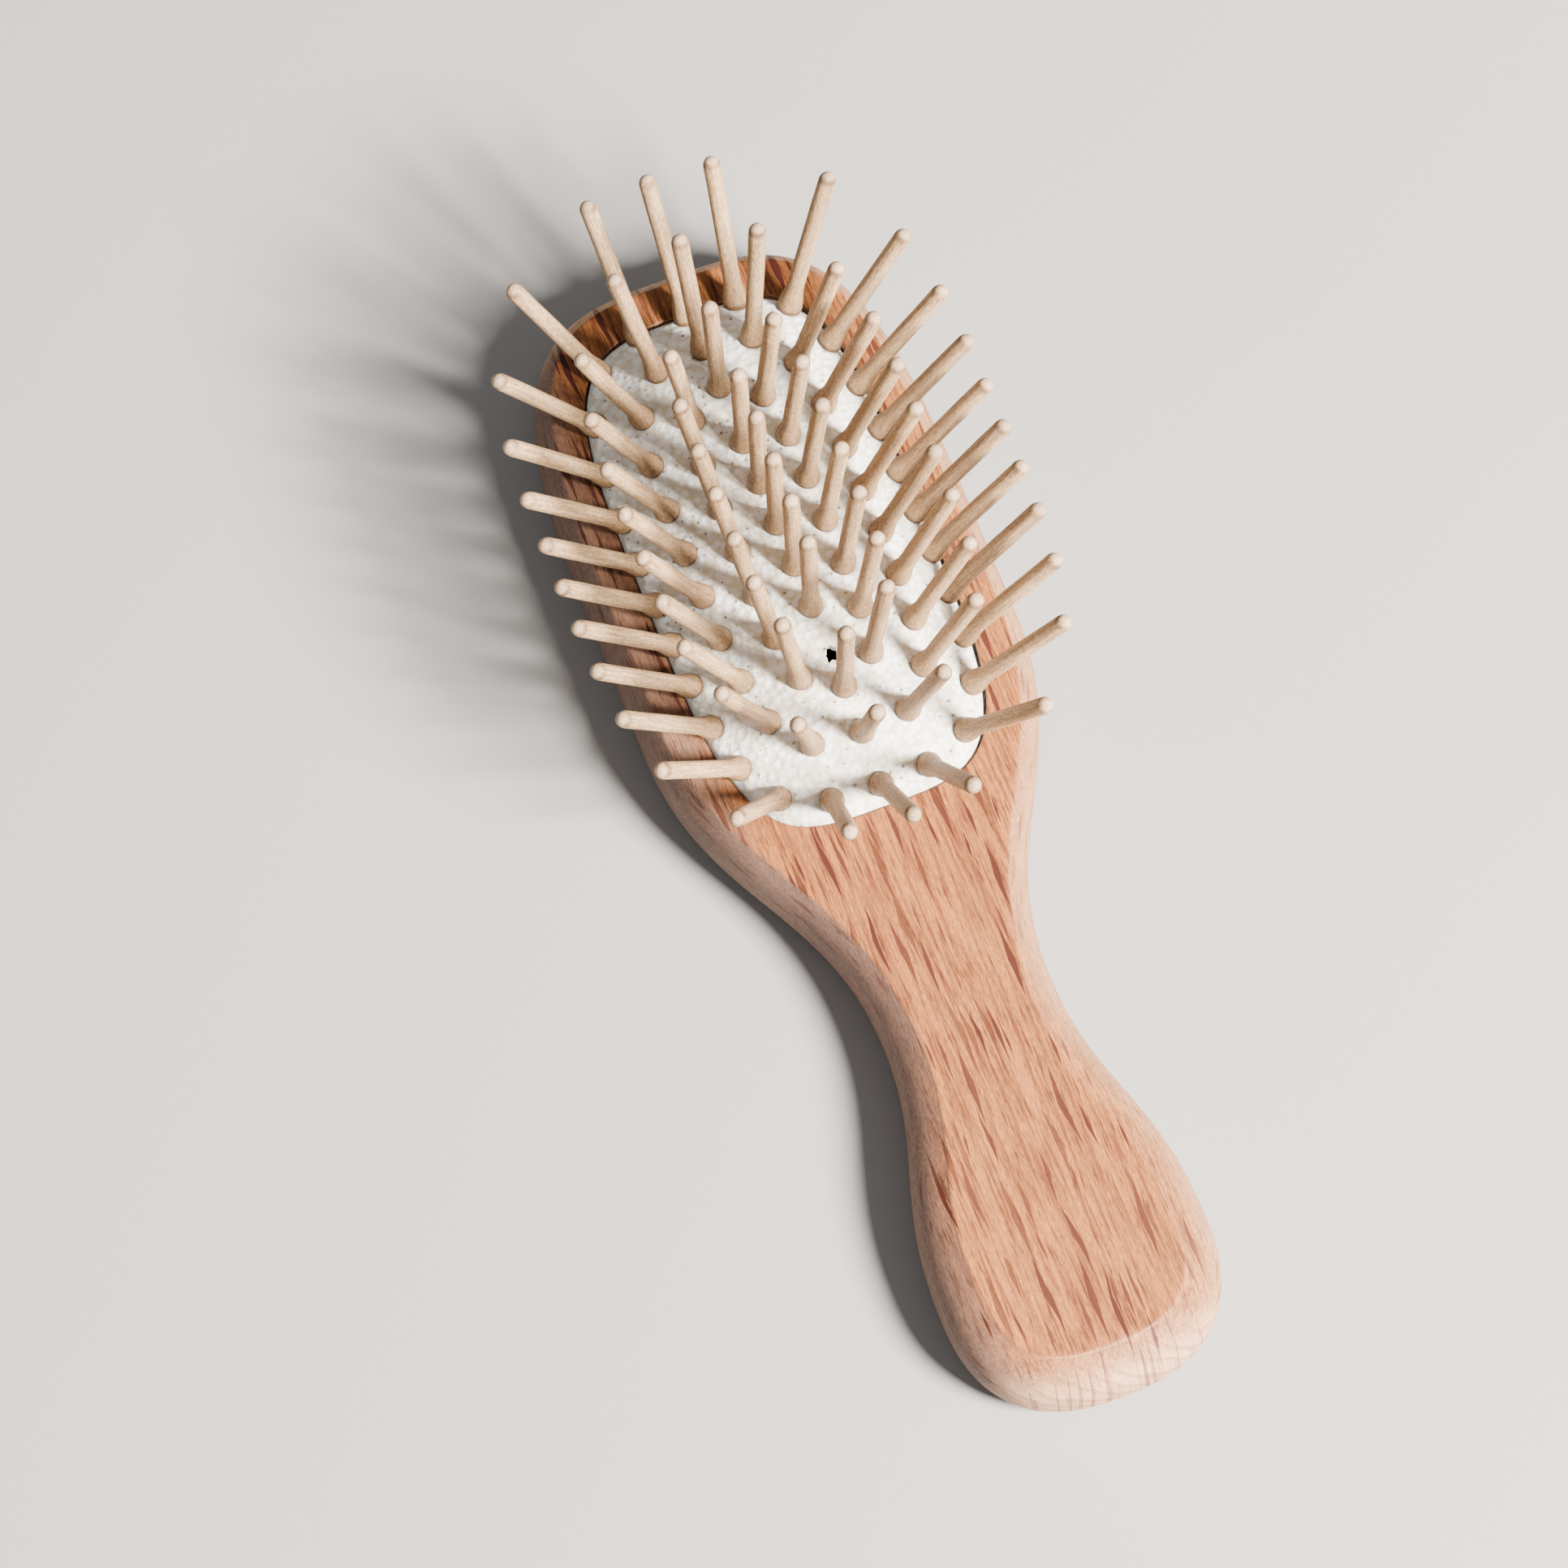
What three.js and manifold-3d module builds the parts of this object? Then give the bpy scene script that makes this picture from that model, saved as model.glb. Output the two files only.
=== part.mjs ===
// Cushion hairbrush: a beech body with a routed pocket, a domed rubber cushion held in the
// pocket's groove, and wooden pins that stand in the cushion. Millimetres, +Z up.
// While it is built, x = y = 0 is the centre of the pocket and z = 0 is the flat back. The
// brush points along +Y, head first. The finished group is centred over its own footprint.
import * as THREE from "three";
import { mergeVertices } from "three/addons/utils/BufferGeometryUtils.js";
import Module from "manifold-3d";

const wasm = await Module();
wasm.setup();

// Body outline
const BODY_THICKNESS = 11;
const HEAD_HALF_WIDTH = 22.8;
const HEAD_LENGTH = 38.9; // from the pocket's centre to the far end of the head
const HEAD_ROUNDNESS = 3.4; // superellipse exponent of the far end
const HEAD_STRAIGHT = 14; // straight side below the pocket's centre
const NECK_HALF_WIDTH = 10.15;
const NECK_DISTANCE = 57; // from the pocket's centre
const HANDLE_HALF_WIDTH = 15.8;
const HANDLE_WIDEST = 31.5; // beyond the neck
const HANDLE_TIP = 15.7; // beyond the widest place
const HANDLE_ROUNDNESS = 2.5;

// How far each smooth bend of the outline holds its direction, as a share of the bend's length
const SHOULDER_HOLD = 0.46;
const NECK_HOLD_TO_HEAD = 0.44;
const NECK_HOLD_TO_HANDLE = 0.41;
const HANDLE_HOLD = 0.46;

// Body edges
const BACK_EDGE_INSET = 3;
const HEAD_EDGE_INSET = 2;
const HANDLE_EDGE_INSET = 4;
const EDGE_CHANGE_START = 0.7; // of the neck's distance, where the top edge's inset starts to grow
const EDGE_CHANGE_END = 1.3;

// The side's section, as shares of the edge's inset and of the body's thickness
const BACK_SECTION = [
  { inset: 1, height: 0 },
  { inset: 0.36, height: 0.06 },
  { inset: 0.09, height: 0.2 },
  { inset: 0, height: 0.42 },
];
const TOP_SECTION = [
  { inset: 0.09, height: 0.68 },
  { inset: 0.38, height: 0.88 },
  { inset: 1, height: 1 },
];

// Pocket
const POCKET_HALF_WIDTH = 16.85;
const POCKET_HALF_LENGTH = 32.5;
const POCKET_ROUNDNESS = 3.8;
const POCKET_DEPTH = 6.5;
const GROOVE_TOP = 2; // below the top face
const GROOVE_HEIGHT = 1.7;
const GROOVE_REACH = 0.9; // outwards from the pocket wall

// Cushion
const DOME_HEIGHT = 5.03;
const DOME_STEEPNESS = 2.7; // exponent of the fall from the middle to the rim
const CUSHION_WALL = 1.3;
const CUSHION_CLEARANCE = 0.3;
const CUSHION_SKIRT = 1; // thickness of the upright wall under the rim
const SKIRT_DROP = 0.4; // from the rubber's underside at the rim to the skirt's inner edge
const DOME_RINGS = [0.12, 0.35, 0.55, 0.72, 0.86]; // shares of the way from the ridge to the rim
const UNDERSIDE_SHARE = 0.93; // of the outer rings' shares, for the underside's rings
const VENT_RADIUS = 0.8;
const VENT_PLACE = 14.8; // from the pocket's centre, towards the handle

// Pins
const PIN_LENGTH = 20; // above the cushion
const PIN_RADIUS = 1;
const PIN_COLLAR_RADIUS = 1.45;
const PIN_COLLAR_LENGTH = 3.6;
const PIN_COLLAR_BELT = 0.15; // share of the collar's length below its thickest place
const PIN_TIP_HEIGHT = 0.8; // of the pin's radius
const PIN_TIP_SHOULDER = { radius: 0.66, drop: 0.22 }; // of the pin's radius
const PIN_NECK_RADIUS = 0.6;
const PIN_FOOT_RADIUS = 1.2;
const PIN_FOOT_HEIGHT = 1;
const PIN_CLEARANCE = 0.3; // to the rubber, all round
const PIN_FIELD_SHIFT = 0.45; // of all pins, towards the head's far end
const CENTRE_PIN_COUNT = 5;
const CENTRE_PIN_PITCH = 5.4;
const CENTRE_PIN_SHIFT = 1.95; // of the middle one of them, from the pocket's centre
const ROW_BRIDGE_WIDTH = 1.8;
const ROW_BRIDGE_HEIGHT = 0.8;

// Insets of each ring of pins from the pocket wall, at the sides and at the two ends, and how far
// the pins between the head's tip and RING_EASE_END of the way round are eased along the ring.
const OUTER_RING = { pins: 28, side: 1.35, end: 1.75, ease: 1.95 };
const MIDDLE_RING = { pins: 22, side: 6.15, end: 7.4, ease: 0.6 };
const INNER_RING = { pins: 16, side: 11.55, end: 12.8, ease: 0 };
const RING_EASE_END = 0.72;

// Fineness of the round shapes
const CURVE_STEPS = 8;
const RIM_STEPS = 40;
const RING_STEPS = 200; // for measuring along a ring of pins
const PIN_SIDES = 9;

// Working values
const MERGE_DISTANCE = 1e-3;
const CUT_BEYOND = 1; // how far a cutter reaches past what it cuts
const DRILL_DEPTH = 4; // in thicknesses of the rubber
const SLOPE_STEP = 0.05; // for measuring the skin's slope
const SHARE_RANGE = [1e-4, 2]; // where the rim share is searched for
const SEARCH_STEPS = 40;
const LENGTH_SLACK = 1e-9;

const beech = new THREE.MeshStandardMaterial({ color: 0xc99468, roughness: 0.62, metalness: 0 });
const rubber = new THREE.MeshStandardMaterial({ color: 0xe6e1d6, roughness: 0.9, metalness: 0 });
const maple = new THREE.MeshStandardMaterial({ color: 0xdcc09a, roughness: 0.55, metalness: 0 });

const UP = new THREE.Vector3(0, 0, 1);

// --- Solids -----------------------------------------------------------------------------

function solidOf(geometry) {
  const bare = geometry.index ? geometry.toNonIndexed() : geometry.clone();
  const plain = new THREE.BufferGeometry();
  plain.setAttribute("position", bare.getAttribute("position"));
  const merged = mergeVertices(plain, MERGE_DISTANCE);
  return new wasm.Manifold(
    new wasm.Mesh({
      numProp: 3,
      vertProperties: merged.attributes.position.array,
      triVerts: new Uint32Array(merged.index.array),
    }),
  );
}

function geometryOf(solid) {
  const mesh = solid.getMesh();
  const positions = new Float32Array(mesh.numVert * 3);
  for (let i = 0; i < mesh.numVert; i += 1) {
    positions.set(mesh.vertProperties.subarray(i * mesh.numProp, i * mesh.numProp + 3), i * 3);
  }
  const geometry = new THREE.BufferGeometry();
  geometry.setAttribute("position", new THREE.BufferAttribute(positions, 3));
  geometry.setIndex(new THREE.BufferAttribute(new Uint32Array(mesh.triVerts), 1));
  geometry.computeVertexNormals();
  return geometry;
}

// A closed surface through rings of equally many points, listed from the bottom up, each ring
// running anticlockwise seen from above. Both ends are closed with a fan round their middle.
function loft(rings) {
  const count = rings[0].length;
  const points = rings.flat();
  const index = [];
  for (let r = 0; r + 1 < rings.length; r += 1) {
    for (let i = 0; i < count; i += 1) {
      const a = r * count + i;
      const b = r * count + ((i + 1) % count);
      index.push(a, b, b + count, a, b + count, a + count);
    }
  }
  const closeRing = (ring, first, up) => {
    const middle = ring.reduce((sum, p) => sum.add(p), new THREE.Vector3()).divideScalar(count);
    points.push(middle);
    for (let i = 0; i < count; i += 1) {
      const a = first + i;
      const b = first + ((i + 1) % count);
      index.push(...(up ? [a, b, points.length - 1] : [b, a, points.length - 1]));
    }
  };
  closeRing(rings[0], 0, false);
  closeRing(rings[rings.length - 1], (rings.length - 1) * count, true);
  const geometry = new THREE.BufferGeometry().setFromPoints(points);
  geometry.setIndex(index);
  return geometry;
}

// --- Outlines ---------------------------------------------------------------------------

// A quarter of a superellipse from its tip on the Y axis (0, b) round to its side (a, 0).
function quarterSuperellipse(a, b, exponent, steps) {
  const points = [];
  for (let i = 0; i <= steps; i += 1) {
    const angle = (i / steps) * (Math.PI / 2);
    points.push(
      new THREE.Vector2(
        a * Math.sin(angle) ** (2 / exponent),
        b * Math.max(Math.cos(angle), 0) ** (2 / exponent),
      ),
    );
  }
  return points;
}

// The right-hand half of the body's outline, from the head's far tip to the handle's tip.
function bodyHalfOutline() {
  const widestY = -NECK_DISTANCE - HANDLE_WIDEST;
  const run = NECK_DISTANCE - HEAD_STRAIGHT;
  const far = quarterSuperellipse(HEAD_HALF_WIDTH, HEAD_LENGTH, HEAD_ROUNDNESS, CURVE_STEPS);
  const shoulder = new THREE.CubicBezierCurve(
    new THREE.Vector2(HEAD_HALF_WIDTH, -HEAD_STRAIGHT),
    new THREE.Vector2(HEAD_HALF_WIDTH, -HEAD_STRAIGHT - SHOULDER_HOLD * run),
    new THREE.Vector2(NECK_HALF_WIDTH, -NECK_DISTANCE + NECK_HOLD_TO_HEAD * run),
    new THREE.Vector2(NECK_HALF_WIDTH, -NECK_DISTANCE),
  ).getPoints(CURVE_STEPS);
  const flare = new THREE.CubicBezierCurve(
    new THREE.Vector2(NECK_HALF_WIDTH, -NECK_DISTANCE),
    new THREE.Vector2(NECK_HALF_WIDTH, -NECK_DISTANCE - NECK_HOLD_TO_HANDLE * HANDLE_WIDEST),
    new THREE.Vector2(HANDLE_HALF_WIDTH, widestY + HANDLE_HOLD * HANDLE_WIDEST),
    new THREE.Vector2(HANDLE_HALF_WIDTH, widestY),
  ).getPoints(CURVE_STEPS);
  const tip = quarterSuperellipse(HANDLE_HALF_WIDTH, HANDLE_TIP, HANDLE_ROUNDNESS, CURVE_STEPS)
    .map((p) => new THREE.Vector2(p.x, widestY - p.y))
    .reverse();
  return [...far, ...shoulder, ...flare.slice(1), ...tip.slice(1)];
}

// The whole outline, anticlockwise from the far tip.
function bodyOutline() {
  const right = bodyHalfOutline();
  const left = right.slice(1, -1).map((p) => new THREE.Vector2(-p.x, p.y));
  return [...left, ...right.reverse()];
}

// The outline moved inwards along its own normals, by an amount that may depend on the place.
function insetOutline(outline, insetAt, z) {
  const count = outline.length;
  return outline.map((p, i) => {
    const before = outline[(i + count - 1) % count];
    const after = outline[(i + 1) % count];
    const along = after.clone().sub(before).normalize();
    const inset = insetAt(p);
    return new THREE.Vector3(p.x - along.y * inset, p.y + along.x * inset, z);
  });
}

// A ring round the pocket, inset from its wall, as the pocket's and the cushion's surfaces use.
function pocketRing(inset, z) {
  const share = 2 / POCKET_ROUNDNESS;
  const points = [];
  for (let i = 0; i < RIM_STEPS; i += 1) {
    const angle = (i / RIM_STEPS) * 2 * Math.PI;
    const c = Math.cos(angle);
    const s = Math.sin(angle);
    points.push(
      new THREE.Vector3(
        (POCKET_HALF_WIDTH - inset) * Math.sign(c) * Math.abs(c) ** share,
        (POCKET_HALF_LENGTH - inset) * Math.sign(s) * Math.abs(s) ** share,
        z,
      ),
    );
  }
  return points;
}

// --- Body -------------------------------------------------------------------------------

function makeBody() {
  const outline = bodyOutline();
  const start = NECK_DISTANCE * EDGE_CHANGE_START;
  const end = NECK_DISTANCE * EDGE_CHANGE_END;
  const topInset = (p) => {
    const change = THREE.MathUtils.smoothstep(-p.y, start, end);
    return HEAD_EDGE_INSET + (HANDLE_EDGE_INSET - HEAD_EDGE_INSET) * change;
  };
  const ring = (step, insetAt) => {
    return insetOutline(outline, (p) => insetAt(p) * step.inset, BODY_THICKNESS * step.height);
  };
  const block = solidOf(
    loft([
      ...BACK_SECTION.map((step) => ring(step, () => BACK_EDGE_INSET)),
      ...TOP_SECTION.map((step) => ring(step, topInset)),
    ]),
  );
  const floor = BODY_THICKNESS - POCKET_DEPTH;
  const above = BODY_THICKNESS + CUT_BEYOND;
  const pocket = solidOf(loft([pocketRing(0, floor), pocketRing(0, above)]));
  const grooveFloor = BODY_THICKNESS - GROOVE_TOP - GROOVE_HEIGHT;
  const groove = solidOf(
    loft([
      pocketRing(-GROOVE_REACH, grooveFloor),
      pocketRing(-GROOVE_REACH, grooveFloor + GROOVE_HEIGHT),
    ]),
  );
  return block.subtract(pocket.add(groove));
}

// --- Cushion ----------------------------------------------------------------------------

// How far a point lies towards the rim: 0 on the dome's ridge, 1 at the pocket wall.
function rimShare(x, y) {
  const ridge = POCKET_HALF_LENGTH - POCKET_HALF_WIDTH;
  let [low, high] = SHARE_RANGE;
  for (let i = 0; i < SEARCH_STEPS; i += 1) {
    const share = (low + high) / 2;
    const a = POCKET_HALF_WIDTH * share;
    const outside =
      (Math.abs(x) / a) ** POCKET_ROUNDNESS + (Math.abs(y) / (ridge + a)) ** POCKET_ROUNDNESS;
    if (outside > 1) low = share;
    else high = share;
  }
  return high;
}

// Height of the dome above the body's top face.
function domeHeight(share) {
  return DOME_HEIGHT * (1 - share ** DOME_STEEPNESS);
}

// The place on the cushion's skin above (x, y), and the direction square to the skin there.
function skinAt(x, y) {
  const h = SLOPE_STEP;
  const heightAt = (u, v) => domeHeight(rimShare(u, v));
  const slopeX = (heightAt(x + h, y) - heightAt(x - h, y)) / (2 * h);
  const slopeY = (heightAt(x, y + h) - heightAt(x, y - h)) / (2 * h);
  return {
    place: new THREE.Vector3(x, y, BODY_THICKNESS + heightAt(x, y)),
    normal: new THREE.Vector3(-slopeX, -slopeY, 1).normalize(),
  };
}

// A round cutter along Z that ends at the given height and reaches well below the rubber.
function drill(radius, end) {
  const depth = CUSHION_WALL * DRILL_DEPTH;
  const rod = new THREE.CylinderGeometry(radius, radius, depth, PIN_SIDES);
  return rod.rotateX(Math.PI / 2).translate(0, 0, end - depth / 2);
}

// Every pin has a hole for its neck, and the pins at the rim have room for their feet as well.
function makeCushion(pins, rimPins) {
  const top = BODY_THICKNESS;
  const skinRing = (share, drop) =>
    pocketRing(POCKET_HALF_WIDTH * (1 - share), top + domeHeight(share) - drop);
  const beadTop = top - GROOVE_TOP - CUSHION_CLEARANCE;
  const beadFloor = top - GROOVE_TOP - GROOVE_HEIGHT + CUSHION_CLEARANCE;
  const beadReach = -(GROOVE_REACH - CUSHION_CLEARANCE);
  const innerWall = CUSHION_CLEARANCE + CUSHION_SKIRT;
  const rim = 1 - 2 * CUSHION_CLEARANCE / POCKET_HALF_WIDTH;
  const outer = solidOf(
    loft([
      pocketRing(beadReach, beadFloor),
      pocketRing(beadReach, beadTop),
      pocketRing(CUSHION_CLEARANCE, beadTop),
      pocketRing(CUSHION_CLEARANCE, top - 2 * CUSHION_CLEARANCE),
      skinRing(rim, 0),
      ...DOME_RINGS.toReversed().map((share) => skinRing(share, 0)),
    ]),
  );
  const innerShares = DOME_RINGS.map((share) => share * UNDERSIDE_SHARE);
  const inner = solidOf(
    loft([
      pocketRing(innerWall, beadFloor - CUT_BEYOND),
      pocketRing(innerWall, top - CUSHION_WALL - SKIRT_DROP),
      ...innerShares.toReversed().map((share) => skinRing(share, CUSHION_WALL)),
    ]),
  );
  const outside = CUT_BEYOND + CUSHION_WALL;
  const neckHole = () => drill(PIN_NECK_RADIUS + PIN_CLEARANCE, outside);
  const footRoom = () => drill(PIN_FOOT_RADIUS + PIN_CLEARANCE, -CUSHION_WALL);
  const holes = [
    ...pins.map((pin) => standOn(neckHole(), pin)),
    ...rimPins.map((pin) => standOn(footRoom(), pin)),
    standOn(drill(VENT_RADIUS, outside), skinAt(0, -VENT_PLACE)),
  ].map(solidOf);
  return outer.subtract(inner).subtract(wasm.Manifold.union(holes));
}

// --- Pins -------------------------------------------------------------------------------

// Moves a shape made along +Z at the origin to a place on the skin, square to the skin.
function standOn(geometry, spot) {
  const turn = new THREE.Quaternion().setFromUnitVectors(UP, spot.normal);
  return geometry.applyQuaternion(turn).translate(spot.place.x, spot.place.y, spot.place.z);
}

// One pin's profile, from the foot below the rubber to the round tip.
function pinProfile() {
  const footTop = -CUSHION_WALL - PIN_CLEARANCE;
  const collarFoot = PIN_CLEARANCE;
  return [
    [0, footTop - PIN_FOOT_HEIGHT],
    [PIN_FOOT_RADIUS, footTop - PIN_FOOT_HEIGHT],
    [PIN_FOOT_RADIUS, footTop],
    [PIN_NECK_RADIUS, footTop],
    [PIN_NECK_RADIUS, collarFoot],
    [PIN_COLLAR_RADIUS, collarFoot + PIN_COLLAR_BELT * PIN_COLLAR_LENGTH],
    [PIN_RADIUS, collarFoot + PIN_COLLAR_LENGTH],
    [PIN_RADIUS, PIN_LENGTH - PIN_TIP_HEIGHT * PIN_RADIUS],
    [PIN_RADIUS * PIN_TIP_SHOULDER.radius, PIN_LENGTH - PIN_TIP_SHOULDER.drop * PIN_RADIUS],
    [0, PIN_LENGTH],
  ].map(([radius, z]) => new THREE.Vector2(radius, z));
}

function makePin(pin) {
  const lathe = new THREE.LatheGeometry(pinProfile(), PIN_SIDES);
  return solidOf(standOn(lathe.rotateX(Math.PI / 2), pin));
}

// Places evenly spaced along a ring inset from the pocket wall, clockwise from the far end.
function ringPlaces(ring) {
  const a = POCKET_HALF_WIDTH - ring.side;
  const b = POCKET_HALF_LENGTH - ring.end;
  const right = quarterSuperellipse(a, b, POCKET_ROUNDNESS, RING_STEPS);
  const below = right.map((p) => new THREE.Vector2(p.x, -p.y)).reverse();
  const half = [...right, ...below.slice(1)];
  const lengths = [0];
  for (let i = 1; i < half.length; i += 1) {
    lengths.push(lengths[i - 1] + half[i].distanceTo(half[i - 1]));
  }
  const whole = lengths[lengths.length - 1];
  const perSide = ring.pins / 2;
  const places = [];
  for (let k = 0; k <= perSide; k += 1) {
    const turn = Math.min(k / perSide / RING_EASE_END, 1) * Math.PI;
    const wanted = (whole * k) / perSide + ring.ease * Math.sin(turn) ** 2;
    const i = Math.max(1, lengths.findIndex((length) => length >= wanted - LENGTH_SLACK));
    const share = (wanted - lengths[i - 1]) / (lengths[i] - lengths[i - 1]);
    places.push(half[i - 1].clone().lerp(half[i], share));
  }
  const left = places.slice(1, -1).map((p) => new THREE.Vector2(-p.x, p.y));
  return [...places, ...left.reverse()];
}

function pinAt(place) {
  return skinAt(place.x, place.y + PIN_FIELD_SHIFT);
}

// The pins inside the inner ring stand in a line; with the ring they make rows of three.
function innerRows() {
  const ring = ringPlaces(INNER_RING);
  const half = INNER_RING.pins / 2;
  const farTip = ring[0];
  const nearTip = ring[half];
  const centre = [];
  for (let k = 0; k < CENTRE_PIN_COUNT; k += 1) {
    const steps = (CENTRE_PIN_COUNT - 1) / 2 - k;
    const y = CENTRE_PIN_SHIFT - PIN_FIELD_SHIFT + steps * CENTRE_PIN_PITCH;
    centre.push(new THREE.Vector2(0, y));
  }
  const middles = [farTip, ...centre, nearTip];
  return middles.map((middle, k) => {
    const left = ring[INNER_RING.pins - 1 - k];
    const right = ring[k + 1];
    return [left, middle, right].map(pinAt);
  });
}

// A flat strip under the rubber that joins the feet of neighbouring pins.
function makeBridge(from, to) {
  const depth = CUSHION_WALL + PIN_CLEARANCE + PIN_FOOT_HEIGHT / 2;
  const a = from.place.clone().addScaledVector(from.normal, -depth);
  const b = to.place.clone().addScaledVector(to.normal, -depth);
  const along = b.clone().sub(a);
  const strip = new THREE.BoxGeometry(along.length(), ROW_BRIDGE_WIDTH, ROW_BRIDGE_HEIGHT);
  const side = new THREE.Vector3().crossVectors(UP, along).normalize();
  const frame = new THREE.Matrix4().makeBasis(
    along.clone().normalize(),
    side,
    along.clone().normalize().cross(side),
  );
  strip.applyMatrix4(frame);
  const middle = a.add(b).divideScalar(2);
  return solidOf(strip.translate(middle.x, middle.y, middle.z));
}

function makeRow(row) {
  const [left, middle, right] = row;
  return [left, middle, right]
    .map(makePin)
    .reduce((all, pin) => all.add(pin))
    .add(makeBridge(left, middle))
    .add(makeBridge(middle, right));
}

// --- Assembly ---------------------------------------------------------------------------

function named(name, solid, material) {
  const mesh = new THREE.Mesh(geometryOf(solid), material);
  mesh.name = name;
  return mesh;
}

const numbered = (name, i) => `${name}_${String(i + 1).padStart(2, "0")}`;

const outerPins = ringPlaces(OUTER_RING).map(pinAt);
const middlePins = ringPlaces(MIDDLE_RING).map(pinAt);
const rows = innerRows();

const brush = new THREE.Group();
brush.add(named("beech_body", makeBody(), beech));
const allPins = [...outerPins, ...middlePins, ...rows.flat()];
brush.add(named("cushion_membrane", makeCushion(allPins, outerPins), rubber));
outerPins.forEach((pin, i) => brush.add(named(numbered("outer_pin", i), makePin(pin), maple)));
middlePins.forEach((pin, i) => brush.add(named(numbered("middle_pin", i), makePin(pin), maple)));
rows.forEach((row, i) => brush.add(named(`inner_pin_row_${i + 1}`, makeRow(row), maple)));

const footprint = new THREE.Box3().setFromObject(brush);
const assembly = new THREE.Group();
brush.position.y = -(footprint.min.y + footprint.max.y) / 2;
assembly.add(brush);

export default assembly;
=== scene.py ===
"""A small beech cushion hairbrush, lying on its flat back with its wooden pins up.

The brush is made of three sub-assemblies: the beech body, the rubber cushion in the body's pocket,
and the turned pins that stand in the cushion. Sizes are in millimetres and are written to the scene
in metres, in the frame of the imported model: +Y from handle to head, +Z from back to pins.
"""

import logging
import math
import random
from dataclasses import dataclass
from enum import Enum
from typing import Callable, Iterable, Sequence

import bmesh
import bpy
import numpy as np
from mathutils import Matrix, Quaternion, Vector, noise


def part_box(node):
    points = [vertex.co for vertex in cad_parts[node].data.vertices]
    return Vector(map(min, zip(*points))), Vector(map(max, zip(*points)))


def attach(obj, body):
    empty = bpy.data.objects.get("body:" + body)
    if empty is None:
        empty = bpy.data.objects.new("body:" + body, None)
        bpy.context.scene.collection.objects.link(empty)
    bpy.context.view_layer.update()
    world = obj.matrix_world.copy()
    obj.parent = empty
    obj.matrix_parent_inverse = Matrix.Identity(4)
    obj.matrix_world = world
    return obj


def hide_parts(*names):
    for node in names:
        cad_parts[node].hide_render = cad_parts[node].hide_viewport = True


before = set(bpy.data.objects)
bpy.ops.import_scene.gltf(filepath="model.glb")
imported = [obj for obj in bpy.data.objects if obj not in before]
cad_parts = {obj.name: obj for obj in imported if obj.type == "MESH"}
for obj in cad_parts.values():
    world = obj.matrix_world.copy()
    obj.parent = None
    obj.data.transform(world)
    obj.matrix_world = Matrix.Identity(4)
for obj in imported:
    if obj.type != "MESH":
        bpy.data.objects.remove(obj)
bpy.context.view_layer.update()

log = logging.getLogger("hairbrush")

MM = 0.001
BASE_BODY = "handle_and_cushion"
SHARP_ANGLE, WOOD_SHARP_ANGLE = math.radians(50), math.radians(40)
SEARCH_RANGE = (1e-4, 2.0)
SEARCH_STEPS = 40
Material, Mesh, Object = bpy.types.Material, bpy.types.Mesh, bpy.types.Object
Node, NodeTree, Socket = bpy.types.Node, bpy.types.NodeTree, bpy.types.NodeSocket
Colour = tuple[float, float, float]
Span = tuple[float, float]
Ramp = tuple[float, float, float, float]  # Two inputs, and the levels they are taken to.
Ring = tuple[np.ndarray, float]  # The points of a level ring, and its height.


# --- Meshes -----------------------------------------------------------------------------------


def add_piece(name: str, mesh: Mesh, material: Material) -> Object:
    """Puts a mesh in the scene as an object.

    Args:
        name: the object's name.
        mesh: its shape, in metres.
        material: its finish.

    Returns:
        The new object.
    """
    mesh.name = name
    piece = bpy.data.objects.new(name, mesh)
    piece.data.materials.append(material)
    bpy.context.scene.collection.objects.link(piece)
    return piece


def ring_faces(count: int, below: int, above: int) -> list[tuple[int, int, int, int]]:
    """The quads between two closed rings of points.

    Args:
        count: the number of points in each ring.
        below: the index of the lower ring's first point.
        above: the index of the upper ring's first point.

    Returns:
        One quad for each step round the rings.
    """
    steps = [(i, (i + 1) % count) for i in range(count)]
    return [(below + i, below + j, above + j, above + i) for i, j in steps]


def smooth(share: np.ndarray | float) -> np.ndarray | float:
    """Eases a share from 0 to 1 in and out."""
    return share * share * (3 - 2 * share)


def arc_lengths(points: np.ndarray) -> np.ndarray:
    """How far along an open line each of its points lies.

    Args:
        points: the line's points, one row each.

    Returns:
        The distances, which start at 0.
    """
    return np.concatenate([[0], np.cumsum(np.linalg.norm(np.diff(points, axis=0), axis=1))])


def resample_closed(points: np.ndarray, count: int) -> np.ndarray:
    """Spaces points evenly along a closed line.

    Args:
        points: the line's points, one row each, without a repeat of the first.
        count: the number of points wanted.

    Returns:
        The evenly spaced points, which start where the line starts.
    """
    closed = np.vstack([points, points[:1]])
    lengths = arc_lengths(closed)
    wanted = np.linspace(0, lengths[-1], count, endpoint=False)
    return np.column_stack([np.interp(wanted, lengths, closed[:, k]) for k in range(2)])


def move_inwards(outline: np.ndarray, inset: np.ndarray | float) -> np.ndarray:
    """Moves an anticlockwise outline inwards along its own normals.

    Args:
        outline: the points of the closed outline.
        inset: the distance, one for all points or one for each.

    Returns:
        The moved points.
    """
    along = np.roll(outline, -1, axis=0) - np.roll(outline, 1, axis=0)
    along /= np.linalg.norm(along, axis=1)[:, None]
    inwards = np.column_stack([-along[:, 1], along[:, 0]])
    return outline + inwards * np.reshape(inset, (-1, 1))


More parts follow.
